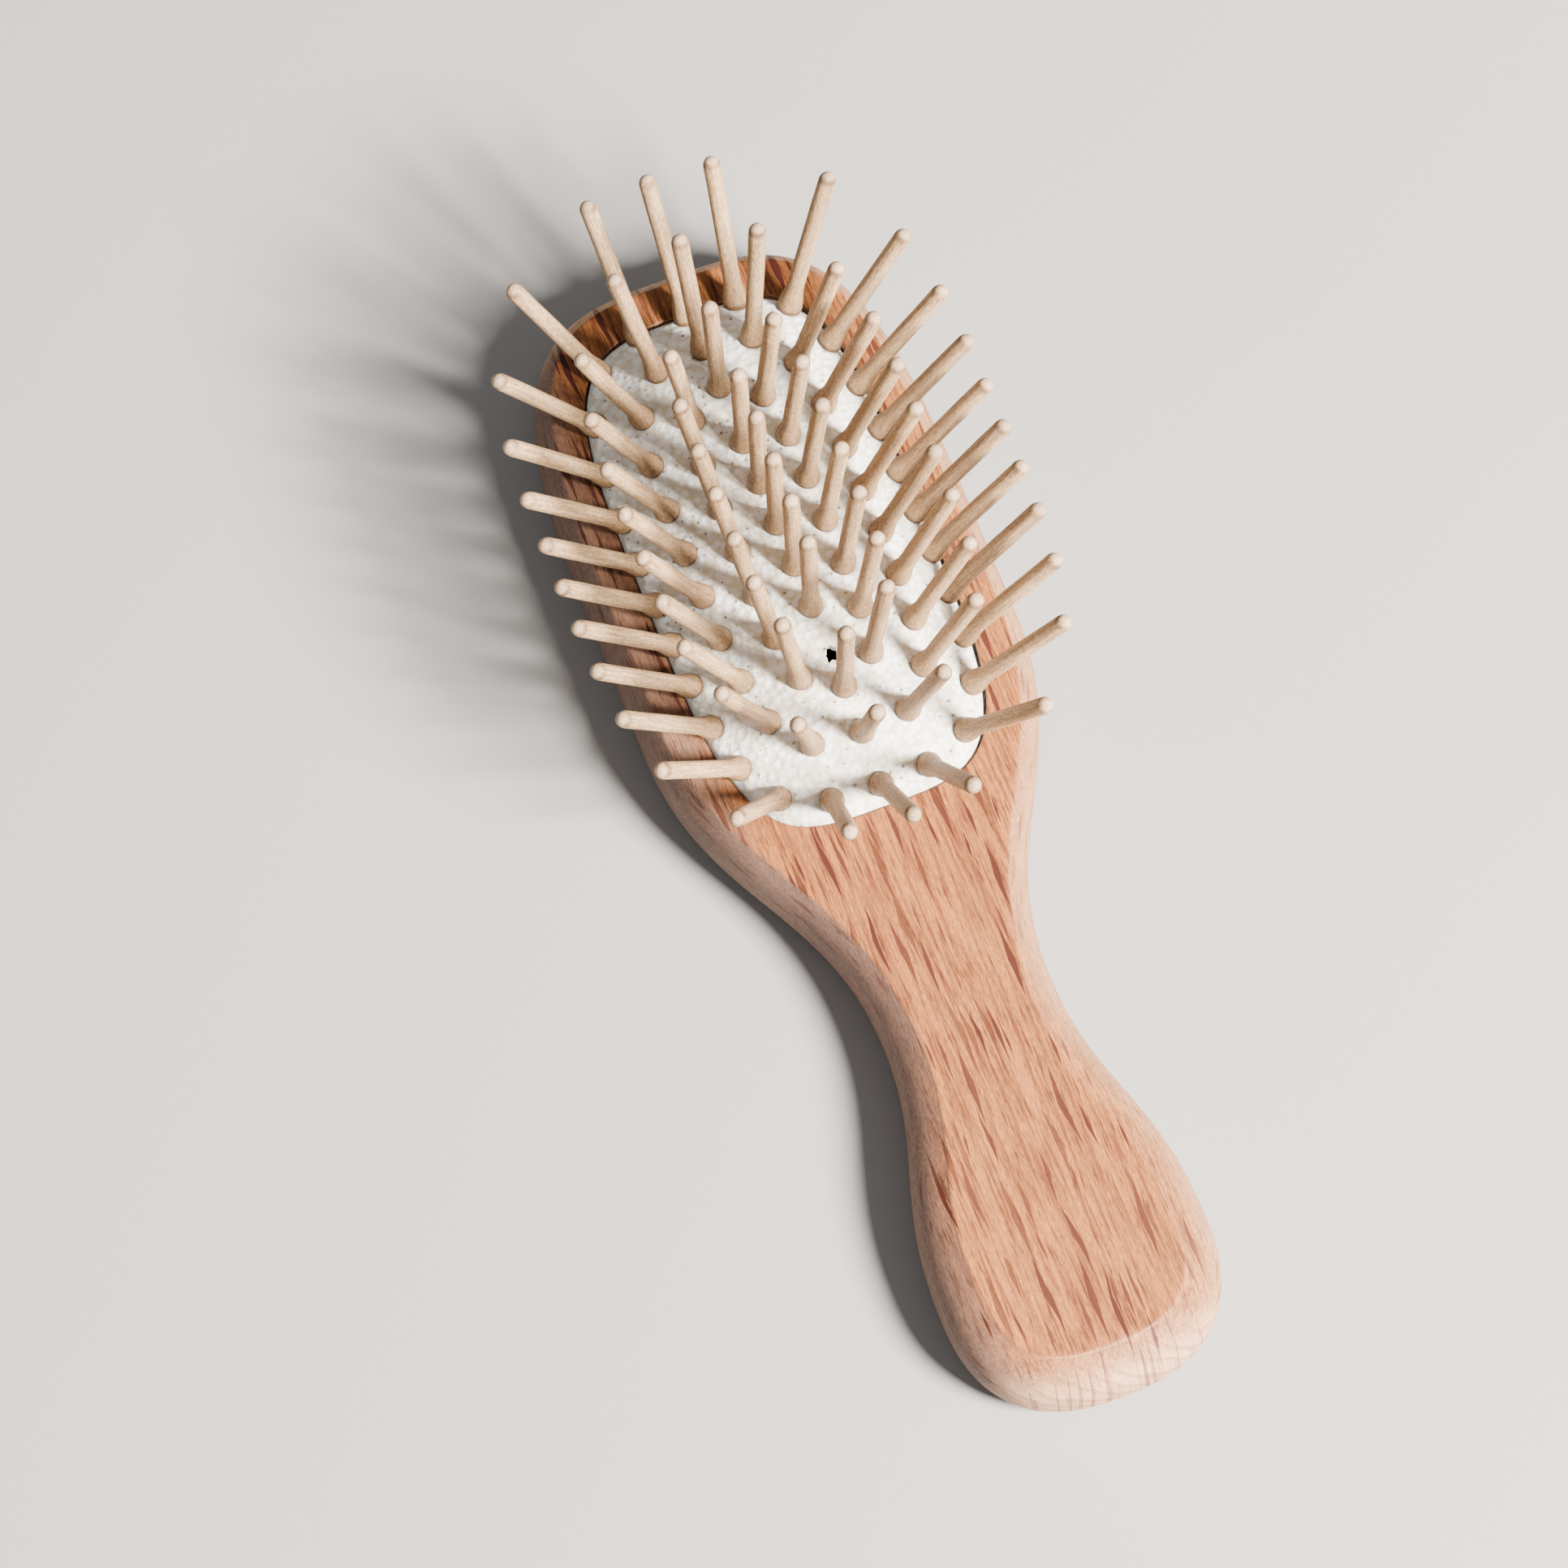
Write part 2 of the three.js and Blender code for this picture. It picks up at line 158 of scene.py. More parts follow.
def superellipse_quarter(a: float, b: float, exponent: float, steps: int) -> np.ndarray:
    """A quarter of a superellipse, from its tip on the Y axis round to its side on the X axis.

    Args:
        a: the half-width along X.
        b: the half-length along Y.
        exponent: 2 for an ellipse, more for a squarer shape.
        steps: the number of steps.

    Returns:
        The quarter's points.
    """
    angle = np.linspace(0, math.pi / 2, steps + 1)
    share = 2 / exponent
    return np.column_stack([a * np.sin(angle) ** share, b * np.abs(np.cos(angle)) ** share])


def bezier(points: Sequence[tuple[float, float]], steps: int) -> np.ndarray:
    """A cubic curve through its first and last control points.

    Args:
        points: the four control points.
        steps: the number of steps.

    Returns:
        The curve's points.
    """
    t = np.linspace(0, 1, steps + 1)[:, None]
    a, b, c, d = (np.array(p) for p in points)
    return a * (1 - t) ** 3 + 3 * b * t * (1 - t) ** 2 + 3 * c * t**2 * (1 - t) + d * t**3


def join_rings(bm: bmesh.types.BMesh, rings: Iterable[Ring], centre: Vector, turned: bool) -> tuple:
    """Adds rings of points to a mesh in order and joins each to the next.

    Args:
        bm: the mesh, in metres.
        rings: the rings, in millimetres.
        centre: what the rings' points are measured from.
        turned: whether the faces point the other way.

    Returns:
        The vertices of the first ring and of the last.
    """
    made = []
    for points, z in rings:
        places = [((x + centre.x) * MM, (y + centre.y) * MM, z * MM) for x, y in points]
        made.append([bm.verts.new(place) for place in places])
    for low, high in zip(made, made[1:]):
        both = low + high
        for quad in ring_faces(len(low), 0, len(low)):
            bm.faces.new([both[i] for i in (quad[::-1] if turned else quad)])
    return made[0], made[-1]


def loop_edges(bm: bmesh.types.BMesh, loop: list[bmesh.types.BMVert]) -> list[bmesh.types.BMEdge]:
    """The edges round a closed loop of vertices, made where they are missing."""
    pairs = zip(loop, loop[1:] + loop[:1])
    return [bm.edges.get(pair) or bm.edges.new(pair) for pair in pairs]


# --- Shader graphs ----------------------------------------------------------------------------


class Graph:
    """Adds nodes to one shader tree and joins them."""

    def __init__(self, tree: NodeTree) -> None:
        """Works on the given tree."""
        self.tree = tree

    def add(self, kind: str, inputs: dict | None = None, **settings: object) -> Node:
        """Adds a node.

        Args:
            kind: the node type without its ShaderNode prefix.
            inputs: what each input is, by name or index: a socket to join, or a value.
            settings: the node's own properties.

        Returns:
            The new node.
        """
        node = self.tree.nodes.new("ShaderNode" + kind)
        for name, value in settings.items():
            setattr(node, name, value)
        for name, value in (inputs or {}).items():
            if isinstance(value, Socket):
                self.tree.links.new(value, node.inputs[name])
            else:
                node.inputs[name].default_value = value
        return node

    def math(self, operation: str, *values: Socket | float, clamp: bool = False) -> Socket:
        """Adds a Math node and gives its result."""
        inputs = dict(enumerate(values))
        return self.add("Math", inputs, operation=operation, use_clamp=clamp).outputs[0]

    def vector_math(self, operation: str, *values: object) -> Socket:
        """Adds a Vector Math node and gives its vector result."""
        return self.add("VectorMath", dict(enumerate(values)), operation=operation).outputs[0]

    def remap(
        self, value: Socket, low: float, high: float, to_low: float = 0, to_high: float = 1
    ) -> Socket:
        """Takes a value from one range smoothly to another.

        Args:
            value: what is remapped.
            low: the value that gives to_low.
            high: the value that gives to_high.
            to_low: the result at low.
            to_high: the result at high.

        Returns:
            The remapped value.
        """
        inputs = {"Value": value, 1: low, 2: high, 3: to_low, 4: to_high}
        return self.add("MapRange", inputs, interpolation_type="SMOOTHSTEP").outputs[0]

    def noise(
        self, position: Socket, detail: float, roughness: float, distortion: float = 0
    ) -> Socket:
        """Adds noise with features about one unit wide.

        Args:
            position: where the noise is read.
            detail: the number of finer layers.
            roughness: how much each finer layer counts.
            distortion: how far the noise bends itself.

        Returns:
            The noise, from 0 to 1.
        """
        inputs = {"Vector": position, "Scale": 1, "Detail": detail}
        inputs |= {"Roughness": roughness, "Distortion": distortion}
        return self.add("TexNoise", inputs).outputs["Fac"]

    def mix(self, factor: Socket | float, a: object, b: object, blend: str = "MIX") -> Socket:
        """Adds a colour mix.

        Args:
            factor: how much of b shows.
            a: the first colour, or its socket.
            b: the second colour, or its socket.
            blend: how b is laid on a.

        Returns:
            The mixed colour.
        """
        node = self.add("Mix", {0: factor}, data_type="RGBA", blend_type=blend)
        for index, value in ((6, a), (7, b)):
            if isinstance(value, Socket):
                self.tree.links.new(value, node.inputs[index])
            else:
                node.inputs[index].default_value = (*value, 1)
        return node.outputs[2]

    def shade(self, colour: Socket | Colour, brightness: Socket) -> Socket:
        """Multiplies a colour by a brightness."""
        grey = self.add("CombineXYZ", dict.fromkeys("XYZ", brightness)).outputs[0]
        return self.mix(1.0, colour, grey, "MULTIPLY")

    def place(self, group: NodeTree, **inputs: object) -> Node:
        """Places a node group.

        Args:
            group: the group's tree.
            inputs: what each input is. Underscores stand for spaces in its name.

        Returns:
            The group's node.
        """
        node = self.add("Group", None, node_tree=group)
        for name, value in inputs.items():
            socket = node.inputs[name.replace("_", " ")]
            if isinstance(value, Socket):
                self.tree.links.new(value, socket)
            else:
                socket.default_value = value
        return node


@dataclass(frozen=True)
class GroupPlan:
    """A shader node group: its sockets, and the function that joins its nodes."""

    name: str
    inputs: dict[str, object]
    outputs: tuple[str, ...]
    wire: Callable[[Graph, Node], dict[str, Socket]]

    def tree(self) -> NodeTree:
        """Builds the group the first time, and gives the same one afterwards.

        Returns:
            The group's node tree.
        """
        if self.name in bpy.data.node_groups:
            return bpy.data.node_groups[self.name]
        tree = bpy.data.node_groups.new(self.name, "ShaderNodeTree")
        for name, value in self.inputs.items():
            kind = "NodeSocketVector" if isinstance(value, tuple) else "NodeSocketFloat"
            socket = tree.interface.new_socket(name, in_out="INPUT", socket_type=kind)
            socket.default_value = value
        for name in self.outputs:
            tree.interface.new_socket(name, in_out="OUTPUT", socket_type="NodeSocketFloat")
        start = tree.nodes.new("NodeGroupInput")
        end = tree.nodes.new("NodeGroupOutput")
        for name, socket in self.wire(Graph(tree), start).items():
            tree.links.new(socket, end.inputs[name])
        return tree


FIBRE_SCALE = (4.5, 3.0, 4.5)
CLOUD_SCALE = (0.16, 0.3, 0.16)


def wire_grain(g: Graph, start: Node) -> dict[str, Socket]:
    """Long streaks, fine fibre lines and soft clouds in wood whose grain runs along Y.

    Args:
        g: the group's graph.
        start: the group's input node, whose Position is in millimetres.

    Returns:
        The group's outputs.
    """
    position = start.outputs["Position"]
    width, length = start.outputs["Streak Width"], start.outputs["Streak Length"]
    across, along = g.math("DIVIDE", 1.0, width), g.math("DIVIDE", 1.0, length)
    scale = g.add("CombineXYZ", {"X": across, "Y": along, "Z": across}).outputs[0]
    stretched = g.vector_math("MULTIPLY", position, scale)
    fine = g.vector_math("MULTIPLY", stretched, FIBRE_SCALE)
    broad = g.vector_math("MULTIPLY", stretched, CLOUD_SCALE)
    return {
        "Streaks": g.noise(stretched, 3, 0.6, 0.25),
        "Fibres": g.noise(fine, 2, 0.7),
        "Clouds": g.noise(broad, 2, 0.5, 0.6),
    }


GRAIN = GroupPlan(
    "Wood Grain",
    {"Position": (0.0, 0.0, 0.0), "Streak Width": 0.5, "Streak Length": 9.0},
    ("Streaks", "Fibres", "Clouds"),
    wire_grain,
)


BEND_SCALE, BEND_MM = (0.12, 0.09, 0.1), 1.6
KINK_SCALE, KINK_MM = (1.1, 0.55, 1.1), 0.1
FLECK_SIZES, FLECK_TONES = (0.45, 1.25), (0.7, 1.0)


def wire_flecks(g: Graph, start: Node) -> dict[str, Socket]:
    """Scattered slender marks, pointed at both ends, that lie along Y and go right through along Z.

    Args:
        g: the group's graph.
        start: the group's input node, whose Position is in millimetres.

    Returns:
        The group's outputs.
    """
    position = start.outputs["Position"]
    bend = g.noise(g.vector_math("MULTIPLY", position, BEND_SCALE), 1, 0.5)
    kink = g.noise(g.vector_math("MULTIPLY", position, KINK_SCALE), 2, 0.6)
    sway = g.math("MULTIPLY", g.math("SUBTRACT", bend, 0.5), BEND_MM)
    sway = g.math("MULTIPLY_ADD", g.math("SUBTRACT", kink, 0.5), KINK_MM, sway)
    shifted = g.vector_math("ADD", position, g.add("CombineXYZ", {"X": sway}).outputs[0])
    across = g.math("DIVIDE", 1.0, start.outputs["Cell Width"])
    along = g.math("DIVIDE", 1.0, start.outputs["Cell Length"])
    scale = g.add("CombineXYZ", {"X": across, "Y": along, "Z": 0.0}).outputs[0]
    cells = g.vector_math("MULTIPLY", shifted, scale)
    voronoi = g.add(
        "TexVoronoi",
        {"Vector": cells, "Scale": 1, "Randomness": 1},
        voronoi_dimensions="2D",
        distance="MANHATTAN",
    )
    chance = g.add("SeparateColor", {0: voronoi.outputs["Color"]}).outputs
    size = g.math("MULTIPLY", start.outputs["Size"], g.remap(chance[0], 0, 1, *FLECK_SIZES))
    edge = g.math("SUBTRACT", size, voronoi.outputs["Distance"])
    mark = g.math("MULTIPLY", edge, g.math("DIVIDE", start.outputs["Sharpness"], size), clamp=True)
    shown = g.math("GREATER_THAN", chance[1], start.outputs["Sparseness"])
    tone = g.remap(chance[2], 0, 1, *FLECK_TONES)
    return {"Mask": g.math("MULTIPLY", g.math("MULTIPLY", mark, shown), tone)}


FLECKS = GroupPlan(
    "Slender Flecks",
    {
        "Position": (0.0, 0.0, 0.0),
        "Cell Width": 1.2,
        "Cell Length": 9.0,
        "Size": 0.2,
        "Sharpness": 4.5,
        "Sparseness": 0.2,
    },
    ("Mask",),
    wire_flecks,
)


RING_WAVER_SCALE, RING_WAVER = (0.18, 0.03, 0.18), 2.2
RING_DARKENS, RING_ENDS = (0.45, 0.9), (1.0, 0.9)


def wire_rings(g: Graph, start: Node) -> dict[str, Socket]:
    """Growth rings round a pith that runs along Y beside and below the piece.

    Args:
        g: the group's graph.
        start: the group's input node, whose Position and Pith are in millimetres.

    Returns:
        The group's outputs.
    """
    offset = g.vector_math("SUBTRACT", start.outputs["Position"], start.outputs["Pith"])
    flat = g.vector_math("MULTIPLY", offset, (1.0, 0.0, 1.0))
    stretched = g.vector_math("MULTIPLY", start.outputs["Position"], RING_WAVER_SCALE)
    waver = g.noise(stretched, 2, 0.5)
    length = g.add("VectorMath", {0: flat}, operation="LENGTH").outputs["Value"]
    count = g.math("DIVIDE", length, start.outputs["Spacing"])
    phase = g.math("FRACT", g.math("MULTIPLY_ADD", waver, RING_WAVER, count))
    darker, ending = g.remap(phase, *RING_DARKENS), g.remap(phase, *RING_ENDS)
    return {"Lines": g.math("MULTIPLY", darker, ending)}


RINGS = GroupPlan(
    "Growth Rings",
    {"Position": (0.0, 0.0, 0.0), "Pith": (-26.0, 0.0, -30.0), "Spacing": 1.7},
    ("Lines",),
    wire_rings,
)


SWIRL_SCALE, SWIRL_REACH = 0.22, (9, 9, 9)
HAIR_STRETCHES = ((2.4, 0.7, 2.0), (0.8, 2.6, 1.4), (1.7, 1.7, 2.2))
HAIR_SCALE, HAIR_WIDTH = (0.8, 0.8, 0.8), 0.05
TUFT_SCALE = (0.9, 0.9, 0.9)
SCALE_SHAPE = {"Scale": 1.05, "Randomness": 0.85, "Smoothness": 0.25}
SCALE_SWIRL = (0.05, 0.05, 0.05)
HALF = (0.5, 0.5, 0.5)


def wire_hairs(g: Graph, start: Node) -> dict[str, Socket]:
    """Fine curling hairs pressed flat, the tufts that they make, and the scales they felt into.

    Args:
        g: the group's graph.
        start: the group's input node, whose Position is in millimetres.

    Returns:
        The group's outputs.
    """
    position = start.outputs["Position"]
    swirl = g.add("TexNoise", {"Vector": position, "Scale": SWIRL_SCALE, "Detail": 2.0})
    turned = g.vector_math("SUBTRACT", swirl.outputs["Color"], HALF)
    turned = g.vector_math("MULTIPLY", turned, SWIRL_REACH)
    layers = []
    for stretch in HAIR_STRETCHES:
        flowing = g.vector_math("MULTIPLY", g.vector_math("ADD", position, turned), stretch)
        hair = g.noise(g.vector_math("MULTIPLY", flowing, HAIR_SCALE), 3, 0.65, 1.2)
        ridge = g.math("ABSOLUTE", g.math("SUBTRACT", hair, 0.5))
        layers.append(g.remap(ridge, 0.0, HAIR_WIDTH, 1.0, 0.0))
    hairs = g.math("MAXIMUM", g.math("MAXIMUM", layers[0], layers[1]), layers[2])
    tufts = g.noise(g.vector_math("MULTIPLY", position, TUFT_SCALE), 4, 0.6, 0.8)
    crooked = g.vector_math("ADD", position, g.vector_math("MULTIPLY", turned, SCALE_SWIRL))
    cells = {"Vector": crooked, **SCALE_SHAPE}
    scales = g.add("TexVoronoi", cells, feature="SMOOTH_F1").outputs["Distance"]
    return {"Hairs": hairs, "Tufts": tufts, "Scales": scales}


HAIRS = GroupPlan(
    "Pressed Hairs",
    {"Position": (0.0, 0.0, 0.0)},
    ("Hairs", "Tufts", "Scales"),
    wire_hairs,
)


END_GRAIN_STARTS = (0.35, 0.9)


def wire_end_grain(g: Graph, start: Node) -> dict[str, Socket]:
    """Where the surface cuts across the grain.

    Args:
        g: the group's graph.
        start: the group's input node, with the surface normal and the grain's direction.

    Returns:
        The group's outputs.
    """
    both = {0: start.outputs["Normal"], 1: start.outputs["Grain"]}
    node = g.add("VectorMath", both, operation="DOT_PRODUCT")
    across = g.math("ABSOLUTE", node.outputs["Value"])
    return {"Mask": g.remap(across, *END_GRAIN_STARTS)}


END_GRAIN = GroupPlan(
    "End Grain",
    {"Normal": (0.0, 0.0, 1.0), "Grain": (0.0, 1.0, 0.0)},
    ("Mask",),
    wire_end_grain,
)


@dataclass(frozen=True)
class Streaks:
    """One layer of wood grain: the usual width and length of its streaks, in millimetres."""

    width: float
    length: float

    def place(self, g: Graph, position: Socket) -> Node:
        """Adds the layer to a material's graph."""
        size = {"Streak_Width": self.width, "Streak_Length": self.length}
        return g.place(GRAIN.tree(), Position=position, **size)


@dataclass(frozen=True)
class Flecks:
    """One layer of flecks, each in a cell of its own.

    The cell's width and length are in millimetres, the fleck's size is a share of the cell, and the
    sparseness is the share of the cells that stay empty.
    """

    width: float
    length: float
    size: float
    sparseness: float
    sharpness: float = 4.5

    def place(self, g: Graph, position: Socket) -> Socket:
        """Adds the layer to a material's graph.

        Args:
            g: the material's graph.
            position: where the layer is read, in millimetres.

        Returns:
            How much of the fleck's colour shows.
        """
        node = g.place(
            FLECKS.tree(),
            Position=position,
            Cell_Width=self.width,
            Cell_Length=self.length,
            Size=self.size,
            Sharpness=self.sharpness,
            Sparseness=self.sparseness,
        )
        return node.outputs["Mask"]


@dataclass(frozen=True)
class Finish:
    """What every finish has: a name, a roughness and the strength of its reflections."""

    name: str
    roughness: float
    specular: float

    def start(self) -> tuple[Material, Graph, Node, Socket, Socket]:
        """Makes the material with its Principled shader and its coordinates.

        Returns:
            The material, its graph, its shader, the position in millimetres and the normal.
        """
        material = bpy.data.materials.new(self.name)
        material.use_nodes = True
        g = Graph(material.node_tree)
        shader = material.node_tree.nodes["Principled BSDF"]
        shader.inputs["Roughness"].default_value = self.roughness
        shader.inputs["Specular IOR Level"].default_value = self.specular
        coordinates = g.add("TexCoord")
        scale = (1 / MM, 1 / MM, 1 / MM)
        position = g.vector_math("MULTIPLY", coordinates.outputs["Object"], scale)
        return material, g, shader, position, coordinates.outputs["Normal"]

    def bump(self, g: Graph, shader: Node, height: Socket, depth_mm: float) -> None:
        """Gives the surface a fine relief.

        Args:
            g: the material's graph.
            shader: the shader whose normal is changed.
            height: the relief, from 0 to 1.
            depth_mm: how deep it goes.
        """
        inputs = {"Height": height, "Strength": 1.0, "Distance": depth_mm * MM}
        g.tree.links.new(g.add("Bump", inputs).outputs[0], shader.inputs["Normal"])

    def gloss(self, g: Graph, shader: Node, texture: Socket, spread: Span) -> None:
        """Varies the roughness with a texture.

        Args:
            g: the material's graph.
            shader: the shader whose roughness is changed.
            texture: the texture, from 0 to 1.
            spread: how far the roughness falls and rises.
        """
        low, high = (self.roughness + change for change in spread)
        g.tree.links.new(g.remap(texture, 0.2, 0.8, low, high), shader.inputs["Roughness"])


@dataclass(frozen=True)
class BeechFinish(Finish):
    """Steamed beech: salmon brown, with short dark ray flecks along the grain and pale end grain.

    Painted light and shade: the faces turned to -X, away from the key light, are mixed towards a
    greyer painted shade, and those turned to +X, towards it, towards a paler painted light. Along
    the board's -X edge, mainly where the pins' shadows fall on the head's rim, a darker painted
    shade is mixed in.
    """

    light: Colour = (0.305, 0.110, 0.030)
    dark: Colour = (0.125, 0.033, 0.008)
    # Painted shade: the colour of the faces turned to -X, away from the key light.
    painted_left_shade: Colour = (0.155, 0.103, 0.086)
    # Painted light: the paler colour of the faces turned to +X, towards the key light.
    sapwood: Colour = (0.42, 0.245, 0.145)
    # Painted shade for the board's -X edge, mainly where the pins' shadows fall on the head's rim.
    heartwood: Colour = (0.15, 0.088, 0.062)
    fleck: Colour = (0.045, 0.0055, 0.0012)
    end: Colour = (0.60, 0.36, 0.215)
    grain: Streaks = Streaks(0.35, 8.0)
    pores: Streaks = Streaks(0.11, 0.9)
    long_flecks: Flecks = Flecks(1.1, 14.0, 0.35, 0.25)
    short_flecks: Flecks = Flecks(0.45, 5.5, 0.27, 0.45)
    side_flecks: Flecks = Flecks(0.9, 7.0, 0.28, 0.25)
    short_shift: Colour = (31.0, 17.0, 5.0)
    short_share: float = 0.7
    side_share: float = 0.55
    end_share: float = 0.75
    pore_share: float = 0.6
    dark_streaks: Span = (0.36, 0.7)
    side_faces: Span = (0.45, 0.75)
    # How far faces turned to -X take the painted shade.
    painted_left_shade_faces: Ramp = (-0.2, -0.75, 0.0, 0.75)
    # How far faces turned to +X take the painted light.
    sapwood_faces: Ramp = (0.3, 0.95, 0.0, 0.55)
    # Where the painted edge shade starts and ends, by X in millimetres.
    heartwood_edge: Ramp = (-14.0, -19.5, 0.0, 0.8)
    ring_strength: Ramp = (0.0, 1.0, 0.1, 0.35)
    fleck_strength: Ramp = (0.0, 1.0, 1.0, 0.6)
    pore_tone: Ramp = (0.3, 0.7, 0.62, 1.28)
    cloud_tone: Ramp = (0.3, 0.7, 0.9, 1.08)
    roughness_spread: Span = (-0.07, 0.08)
    relief_mm: float = 0.035

    def flecks(self, g: Graph, position: Socket, across: Socket) -> Socket:
        """Adds the ray flecks: two sizes on the top and back, and one on the sides.

        Args:
            g: the material's graph.
            position: the position in millimetres.
            across: how far the surface is turned to the right.

        Returns:
            How much of the flecks' colour shows.
        """
        axes = g.add("SeparateXYZ", {0: position}).outputs
        sideways = g.add("CombineXYZ", {"X": axes["Z"], "Y": axes["Y"]}).outputs[0]
        shifted = g.vector_math("ADD", position, self.short_shift)
        short = g.math("MULTIPLY", self.short_flecks.place(g, shifted), self.short_share)
        level = g.math("MAXIMUM", self.long_flecks.place(g, position), short)
        sideness = g.remap(g.math("ABSOLUTE", across), *self.side_faces)
        level = g.math("MULTIPLY", g.math("SUBTRACT", 1.0, sideness), level)
        share = g.math("MULTIPLY", sideness, self.side_share)
        return g.math("MULTIPLY_ADD", self.side_flecks.place(g, sideways), share, level)

    def material(self) -> Material:
        """Builds the material.

        Returns:
            The material.
        """
        material, g, shader, position, normal = self.start()
        grain, pores = self.grain.place(g, position), self.pores.place(g, position)
        end = g.place(END_GRAIN.tree(), Normal=normal).outputs["Mask"]
        across = g.add("SeparateXYZ", {0: normal}).outputs["X"]
        x = g.add("SeparateXYZ", {0: position}).outputs["X"]
        streaks = g.remap(grain.outputs["Streaks"], *self.dark_streaks)
        body = g.mix(streaks, self.light, self.dark)
        # Painted shade on the faces turned to -X, away from the key light.
        body = g.mix(g.remap(across, *self.painted_left_shade_faces), body, self.painted_left_shade)
        # Painted light on the faces turned to +X, towards the key light.
        body = g.mix(g.remap(across, *self.sapwood_faces), body, self.sapwood)
        # Painted shade along the -X edge, mainly where the pins' shadows fall on the head's rim.
        body = g.mix(g.remap(x, *self.heartwood_edge), body, self.heartwood)
        body = g.mix(g.math("MULTIPLY", end, self.end_share), body, self.end)
        rings = g.place(RINGS.tree(), Position=position).outputs["Lines"]
        rings = g.math("MULTIPLY", rings, g.remap(end, *self.ring_strength))
        body = g.mix(rings, body, self.dark)
        speckle = g.remap(pores.outputs["Streaks"], *self.pore_tone)
        clouds = g.remap(grain.outputs["Clouds"], *self.cloud_tone)
        body = g.shade(body, g.math("MULTIPLY", speckle, clouds))
        marks = self.flecks(g, position, across)
        marks = g.math("MULTIPLY", marks, g.remap(end, *self.fleck_strength))
        g.tree.links.new(g.mix(marks, body, self.fleck), shader.inputs["Base Color"])
        self.gloss(g, shader, grain.outputs["Streaks"], self.roughness_spread)
        hollows = g.math("MULTIPLY", pores.outputs["Streaks"], self.pore_share)
        self.bump(g, shader, g.math("SUBTRACT", hollows, marks), self.relief_mm)
        return material


@dataclass(frozen=True)
class PinFinish(Finish):
    """Turned maple: pale straw, browner at the collar and at the very tip; painted collar crease
    shade, tip highlight.
    """

    light: Colour = (0.45, 0.30, 0.17)
    dark: Colour = (0.20, 0.11, 0.045)
    # Dark brown: the scorched band near the tip, and painted shade in the crease at the collar's
    # foot.
    scorch_and_crease_shade: Colour = (0.07, 0.03, 0.012)
    # Painted highlight: the pale colour on the tip's crown, where the light falls.
    painted_tip_highlight: Colour = (0.47, 0.335, 0.235)
    length: float = 20.0
    grain: Streaks = Streaks(0.3, 7.0)
    pores: Streaks = Streaks(0.13, 0.7)
    pin_shift: float = 57.0
    dark_share: float = 0.7
    dark_streaks: Span = (0.3, 0.7)
    lower_end: Ramp = (9.0, 0.5, 0.0, 0.6)
    # Painted shade in the crease where the collar meets the felt, by height in millimetres.
    painted_collar_crease_shade: Ramp = (0.8, 0.3, 0.0, 0.8)
    scorch: Ramp = (0.35, 0.65, 0.25, 0.75)
    band_start: Span = (-1.6, -0.8)
    band_end: Span = (-0.15, -0.7)
    # Where the painted tip highlight starts below the tip, and how strong it gets.
    painted_tip_highlight_start: float = -0.8
    painted_tip_highlight_share: float = 0.55
    pore_tone: Ramp = (0.3, 0.7, 0.62, 1.28)
    pin_tone: Ramp = (0.0, 1.0, 0.86, 1.08)
    roughness_spread: Span = (-0.06, 0.1)
    relief_mm: float = 0.045

    def tip(self, g: Graph, height: Socket, clouds: Socket, body: Socket) -> Socket:
        """Colours the tip: a scorched band and a painted highlight on its crown.

        Args:
            g: the material's graph.
            height: the height above the cushion's skin, in millimetres.
            clouds: the soft clouds that break up the band.
            body: the pin's colour without its tip.

        Returns:
            The colour.
        """
        band = g.math(
            "MULTIPLY",
            g.remap(height, *(self.length + z for z in self.band_start)),
            g.remap(height, *(self.length + z for z in self.band_end)),
        )
        body = g.mix(g.math("MULTIPLY", band, g.remap(clouds, *self.scorch)), body, self.scorch_and_crease_shade)
        # Painted highlight on the tip's crown, paler towards the very tip.
        painted_tip_highlight = g.remap(height, self.length + self.painted_tip_highlight_start, self.length, 0.0, self.painted_tip_highlight_share)
        return g.mix(painted_tip_highlight, body, self.painted_tip_highlight)

    def material(self) -> Material:
        """Builds the material.

        Returns:
            The material, whose grain is shifted for each pin.
        """
        material, g, shader, position, _ = self.start()
        random_value = g.add("ObjectInfo").outputs["Random"]
        axes = g.add("SeparateXYZ", {0: position}).outputs
        height = axes["Z"]
        shifted = g.math("MULTIPLY_ADD", random_value, self.pin_shift, axes["X"])
        lengthwise = {"X": shifted, "Y": height, "Z": axes["Y"]}
        lengthwise = g.add("CombineXYZ", lengthwise).outputs[0]
        grain, pores = self.grain.place(g, lengthwise), self.pores.place(g, lengthwise)
        tone = g.remap(grain.outputs["Streaks"], *self.dark_streaks)
        body = g.mix(g.math("MULTIPLY", tone, self.dark_share), self.light, self.dark)
        body = g.mix(g.remap(height, *self.lower_end), body, self.dark)
        # Painted shade in the crease where the collar meets the felt.
        body = g.mix(g.remap(height, *self.painted_collar_crease_shade), body, self.scorch_and_crease_shade)
        body = self.tip(g, height, grain.outputs["Clouds"], body)
        speckle = g.remap(pores.outputs["Streaks"], *self.pore_tone)
        each = g.remap(random_value, *self.pin_tone)
        body = g.shade(body, g.math("MULTIPLY", speckle, each))
        g.tree.links.new(body, shader.inputs["Base Color"])
        self.gloss(g, shader, grain.outputs["Fibres"], self.roughness_spread)
        self.bump(g, shader, pores.outputs["Streaks"], self.relief_mm)
        return material


